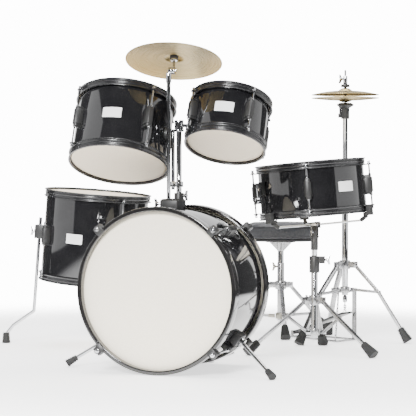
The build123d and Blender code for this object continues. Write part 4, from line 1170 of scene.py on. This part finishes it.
def chainPiece(name, node, start, end):
    # oval links, each turned a quarter from the one before
    run = Vector(end) - Vector(start)
    copies = max(2, round(run.length / chainSizes["pitch"]))
    links = grown("line", "chrome", linkMesh(chainSizes["link"], chainSizes["wire"]), Copies=copies,
                  Spacing=run.length / copies, Turn_each=pi / 2)
    return addPiece(name, moved(links, aimed(start, run)), "chrome", bodyOf[node])


def gripPattern(name, node, finish, place, rows, columns, pitch, radius, height):
    # round studs pressed up from a footboard
    stud = lathe(softened([(0, 0), (radius, 0), (radius * 0.8, height), (0, height)], radius * 0.2), 14)
    aside = [(column - (columns - 1) / 2) * pitch for column in range(columns)]
    studs = [moved(stud.copy(), Matrix(((0, 0, 1, 0), (0, 1, 0, shift), (-1, 0, 0, 0), (0, 0, 0, 1))))
             for shift in aside]
    line = grown("line", finish, merged(studs), Copies=rows, Spacing=pitch, Turn_each=0.0)
    return addPiece(name, moved(line, place), finish, bodyOf[node])


def boardTop(node, heelJoint):
    # heel point on top of a footboard, the direction up its slope and its normal
    points = [vert.co for vert in frame["nodes"][node].data.vertices]
    heel = Vector(heelJoint["pos_m"])
    hinge = Vector(heelJoint["axis"])
    far = max(points, key=lambda p: (p - heel - hinge * (p - heel).dot(hinge)).length)
    slope = far - heel
    slope -= hinge * slope.dot(hinge)
    normal = hinge.cross(slope).normalized()
    normal = normal if normal.z > 0 else -normal
    return heel, slope, normal


def hihat():
    x, y = Vector(jointNamed("hihat_top_spin")["pos_m"]).xy

    def baseRule(centre, part):
        if part["low"].z > 0.38:
            return "chrome" if small(part) else "moulded"
        if part["size"].z > 0.25 and part["size"].x < 0.03:
            return "chrome"
        return "satin"
    splitFeet("hihatStand", "hihat_stand_base", Vector((x, y, 0)), "hihat", baseRule, 0.0008)
    low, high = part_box("hihat_pull_rod")
    capLow, capHigh = 0.118, 0.139
    rod = lathe(softened([(0, capLow), (0.0055, capLow), (0.007, capLow + 0.003), (0.007, capHigh - 0.003),
                          (0.003, capHigh), (0.003, high.z - 0.0006), (0.0022, high.z), (0, high.z)], 0.0006), 32)
    addPiece("hihatPullRod", shifted(rod, x, y), "chrome", bodyOf["hihat_pull_rod"],
             "hihat_pull_rod")
    chainPiece("hihatPullChain", "hihat_pull_rod", (x, y, low.z + 0.003), (x, y, capLow + 0.001))

    def upperRule(centre, part):
        flat = (centre.xy - Vector((x, y))).length
        if part["size"].z < 0.006:
            return "felt"
        return "moulded" if centre.z > 0.668 and flat > 0.006 else "chrome"
    refined("hihatUpperTube", "hihat_upper_tube", cadParts("hihat_upper_tube"), upperRule, 0.0007)

    def clutchRule(centre, part):
        if small(part, 0.03) and part["size"].x < 0.02:
            return "chrome"
        return "moulded" if centre.z < 0.7775 and part["size"].z > 0.03 else "chrome"
    refined("hihatClutch", "hihat_clutch", cadParts("hihat_clutch"), clutchRule, 0.0005)
    plain("hihatFootboard", "hihat_pedal_board", "hoopPaint", 0.0010)
    heel, slope, normal = boardTop("hihat_pedal_board", jointNamed("hihat_pedal"))
    start = heel + slope.normalized() * 0.030 + normal * 0.0028
    place = aimed(start, slope, normal)
    gripPattern("hihatFootboardStuds", "hihat_pedal_board", "rubber", place, 15, 5, 0.0085, 0.0026, 0.0012)


hihat()
print("hi-hat")


# throne

throneSizes = {"startInset": 0.006, "voxel": 0.005, "swell": 0.009, "base": 0.008, "welt": 0.0024, "steps": 20}
cushionCloth = {"use_pressure": True, "uniform_pressure_force": 4.0, "quality": 6, "tension_stiffness": 24,
                "compression_stiffness": 24, "bending_stiffness": 1.2, "mass": 0.3, "vertex_group_mass": "base"}


def puffed(mesh):
    # lets the cushion swell under pressure, with its base held by its board
    before = [vert.co.copy() for vert in mesh.vertices]
    holder = linked("cushionWork", mesh)
    lowest = min(point.z for point in before)
    pins = holder.vertex_groups.new(name="base")
    pins.add([vert.index for vert in mesh.vertices if vert.co.z < lowest + throneSizes["base"]], 1.0, "REPLACE")
    cloth = holder.modifiers.new("cloth", "CLOTH")
    for key, value in cushionCloth.items():
        setattr(cloth.settings, key, value)
    cloth.settings.effector_weights.gravity = 0.0
    cloth.point_cache.frame_start, cloth.point_cache.frame_end = 1, throneSizes["steps"]
    for step in range(1, throneSizes["steps"] + 1):
        bpy.context.scene.frame_set(step)
    after = [vert.co.copy() for vert in evaluated(holder).data.vertices]
    bpy.context.scene.frame_set(1)
    for vert, start, end in zip(mesh.vertices, before, after):
        shift = end - start
        vert.co = start + shift * min(1.0, throneSizes["swell"] / max(shift.length, 1e-9))
    holder.modifiers.clear()
    bpy.data.objects.remove(holder)
    return mesh


def remeshed(mesh, voxel):
    holder = linked("remeshWork", mesh)
    modifier = holder.modifiers.new("even", "REMESH")
    modifier.mode = "VOXEL"
    modifier.voxel_size = voxel
    modifier.use_smooth_shade = True
    result = bpy.data.meshes.new_from_object(evaluated(holder))
    bpy.data.objects.remove(holder)
    return result


def torusAt(radius, height, wire, centre):
    outline = [(radius + wire * cos(tau * k / 14), height + wire * sin(tau * k / 14)) for k in range(14)]
    return shifted(lathe(outline, 160, 80), centre.x, centre.y)


def throne():
    parts = cadParts("throne_seat")
    cushionPart = max(parts, key=lambda part: part["size"].x * part["size"].z)
    low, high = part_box("throne_seat")
    centre = (low + high) / 2
    radius, top = (high.x - low.x) / 2, high.z
    bottom = cushionPart["low"].z + 0.004
    body = bodyOf["throne_seat"]
    start = radius - throneSizes["startInset"]
    outline = softened([(0, bottom), (start - 0.002, bottom), (start, bottom + 0.024), (start - 0.002, top - 0.008),
                        (start * 0.5, top - 0.003), (0, top - 0.002)], 0.008, 5)
    cushion = remeshed(lathe(outline, 96, 80), throneSizes["voxel"])
    cushion = puffed(cushion)
    for vert in cushion.vertices:
        vert.co.z = min(vert.co.z, top - 0.0002)
        flat = vert.co.xy.length
        # the vinyl is drawn in along the welt below the top edge
        dip = 0.0022 * max(0.0, 1 - abs(vert.co.z - (top - 0.012)) / 0.004)
        if flat > start * 0.9:
            vert.co.xy *= 1 - dip / flat
    profile = [(vert.co.xy.length, vert.co.z) for vert in cushion.vertices]
    piece = addPiece("throneCushion", shifted(cushion, centre.x, centre.y), "vinyl", body, "throne_seat")
    for face in piece.data.polygons:
        face.use_smooth = True
    finer = piece.modifiers.new("finer", "SUBSURF")
    finer.levels = finer.render_levels = 1

    def edgeAt(height):
        # how far out the cushion reaches at a height
        near = sorted(reach for reach, up in profile if abs(up - height) < 0.0035)
        return near[-len(near) // 8]

    welt = merged([torusAt(edgeAt(height), height, throneSizes["welt"], centre)
                   for height in (top - 0.012, bottom + 0.006)])
    addPiece("throneWelts", welt, "vinyl", body)
    seam = top - 0.0165
    stitch = shifted(bevelled(block((-0.0004, -0.0024, -0.0004), (0.0004, 0.0024, 0.0004), 0.0002), 0.0001),
                     edgeAt(seam), 0, seam)
    stitches = grown("ring", "rubber", stitch, Copies=110, First_turn=0.0)
    addPiece("throneStitches", shifted(stitches, centre.x, centre.y), "rubber", body)
    board = disc(start - 0.003, bottom - 0.007, bottom + 0.001, 0.0015, 128)
    addPiece("throneBoard", shifted(board, centre.x, centre.y), "board", body)
    bracket = [part for part in parts if part["low"].z < 0.29]
    refined("throneBracket", "throne_seat", bracket, lambda point, part: "satin", 0.0007)
    bolt = shifted(merged([disc(0.006, 0, 0.0012, 0.0003, 24),
                           lathe(softened([(0, -0.0036), (0.0036, -0.0036), (0.0042, 0), (0, 0)], 0.0006), 6)]),
                   0.034, 0, 0.2894)
    bolts = grown("ring", "chrome", bolt, Copies=4, First_turn=radians(65))
    addPiece("throneSeatBolts", shifted(bolts, centre.x, centre.y), "chrome", body)
    plain("thronePost", "throne_post", "chrome", 0.0008)

    def baseRule(point, part):
        if part["size"].z > 0.15:
            return "satin" if part["size"].x < 0.05 else "tarnished"
        return "tarnished" if small(part, 0.09) else "satin"
    splitFeet("throneBase", "throne_base", centre, "throne", baseRule, 0.0008)


throne()
print("throne")


# bass pedal

def bassPedal():
    heel, _, normal = boardTop("bass_pedal_board", jointNamed("bass_pedal_press"))
    parts = cadParts("bass_pedal_frame")
    spring = min(parts, key=lambda part: part["size"].x * part["size"].y)
    refined("bassPedalFrame", "bass_pedal_frame", [part for part in parts if part is not spring],
            lambda point, part: "hoopPaint" if point.z < 0.0045 else "satin", 0.0010)
    coil = grown("coil", "chrome", Turns=22.0, Height=spring["size"].z, Coil_radius=spring["size"].x / 2 - 0.001,
                 Wire=0.0009)
    addPiece("bassPedalSpring", shifted(coil, spring["centre"].x, spring["centre"].y, spring["low"].z), "chrome",
             bodyOf["bass_pedal_frame"])
    plain("bassPedalBoard", "bass_pedal_board", "satin", 0.0010)
    board = aimed(heel + Vector((0, -0.172, 0.0001)) * 0.12 + normal * 0.0028, (0, -cos(0.36), sin(0.36)), normal)
    gripPattern("bassPedalStuds", "bass_pedal_board", "rubber", board, 16, 5, 0.0088, 0.0027, 0.0012)

    axle = Vector(jointNamed("bass_pedal_beater_swing")["pos_m"])
    parts = cadParts("bass_pedal_beater")
    beaterEnd = max((point for part in parts for point in part["points"]), key=lambda point: (point - axle).length)
    middle = [point for part in parts for point in part["points"] if (point - beaterEnd).length < 0.05]
    along = (sum(middle, Vector()) / len(middle) - axle).normalized()

    def beaterRule(point, part):
        # everything off the shaft's line at its far end is the felt
        offset = point - axle
        away = (offset - along * offset.dot(along)).length
        return "felt" if offset.length > 0.12 and away > 0.0048 else "chrome"
    refined("bassPedalBeater", "bass_pedal_beater", parts, beaterRule, 0.0014)


bassPedal()
print("bass pedal")


# floor, light and camera

studio = {"lens": 140.1, "back": 3.8, "aside": 1.4304, "height": 0.5123, "turn": 18.74, "down": 1.28,
          "clip": 60.0,
          "world": (1.0, 1.0, 1.0), "seen": 14.0, "reflected": 0.10, "floorReach": 14.0, "fadeFrom": 0.9,
          "fadeTo": 1.9}
softboxes = {
    "leftPanel": (-78, 3.4, 1.75, 3.6, 3.3, 1.6),
    "rightPanel": (80, 3.4, 1.75, 3.9, 3.3, 1.6),
    "backWall": (180, 4.2, 1.8, 6.0, 3.2, 1.6),
    "frontFill": (-14, 5.6, 2.9, 1.2, 1.4, 150.0),
}


def areaLight(name, place, aim, width, height, radiance):
    data = bpy.data.lights.new(name, "AREA")
    data.shape = "RECTANGLE"
    data.size, data.size_y = width, height
    data.energy = radiance * pi * width * height
    light = linked(name, data)
    light.location = place
    light.rotation_euler = (Vector(aim) - Vector(place)).to_track_quat("-Z", "Y").to_euler()
    light.visible_camera = False


def stageScene():
    low, high = cadBounds
    reach = studio["floorReach"]
    floor = prism([(-reach, -reach), (reach, -reach), (reach, reach), (-reach, reach)], -0.02, -0.0003)
    floorPiece = linked("studioFloor", floor)
    material, tree, shader = newMaterial("paleFloor", {"Base Color": (0.90, 0.90, 0.90, 1), "Roughness": 0.6,
                                                       "Emission Color": (1, 1, 1, 1), "Emission Strength": 1.5})
    marks = placeGroup(tree, "marks", Size=1.5, Low=0.55, High=0.65)
    join(tree, marks.outputs["Value"], shader.inputs["Roughness"])
    # the floor fades out into the white backdrop
    away = addNode(tree, "ShaderNodeVectorMath", operation="LENGTH")
    join(tree, addNode(tree, "ShaderNodeTexCoord").outputs["Object"], away.inputs[0])
    fade = addNode(tree, "ShaderNodeMapRange", interpolation_type="SMOOTHSTEP")
    for label, value in (("From Min", studio["fadeFrom"]), ("From Max", studio["fadeTo"])):
        fade.inputs[label].default_value = value
    join(tree, away.outputs["Value"], fade.inputs["Value"])
    blend = addNode(tree, "ShaderNodeMixShader")
    join(tree, fade.outputs[0], blend.inputs[0])
    join(tree, shader.outputs[0], blend.inputs[1])
    join(tree, addNode(tree, "ShaderNodeBsdfTransparent").outputs[0], blend.inputs[2])
    join(tree, blend.outputs[0], tree.nodes["Material Output"].inputs["Surface"])
    floor.materials.append(material)
    world = bpy.data.worlds.new("studioWorld")
    bpy.context.scene.world = world
    world.use_nodes = True
    tree = world.node_tree
    background = tree.nodes["Background"]
    seen = addNode(tree, "ShaderNodeLightPath")
    strength = spread(tree, seen.outputs["Is Camera Ray"], studio["reflected"], studio["seen"])
    background.inputs["Color"].default_value = (*studio["world"], 1)
    join(tree, strength, background.inputs["Strength"])
    centre = (low + high) / 2
    cameraSide = radians(studio["turn"] - 90)
    for name, (turn, distance, up, width, height, radiance) in softboxes.items():
        around = cameraSide + radians(turn)
        place = Vector((centre.x + distance * cos(around), centre.y + distance * sin(around), up))
        aimHeight = 0.4 if name == "frontFill" else up
        areaLight(name, place, (centre.x, centre.y, aimHeight), width, height, radiance)
    areaLight("overhead", centre + Vector((0.1, 0.2, 3.4)), centre, 3.6, 3.6, 9.0)
    bassLow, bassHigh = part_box("bass_hoops")
    camera = linked("camera", bpy.data.cameras.new("camera"))
    camera.data.lens = studio["lens"]
    camera.data.sensor_width = 36
    camera.location = ((bassLow.x + bassHigh.x) / 2 + studio["aside"], bassLow.y - studio["back"], studio["height"])
    camera.rotation_euler = (radians(90 - studio["down"]), 0, radians(studio["turn"]))
    camera.data.clip_end = studio["clip"]
    bpy.context.scene.camera = camera


stageScene()
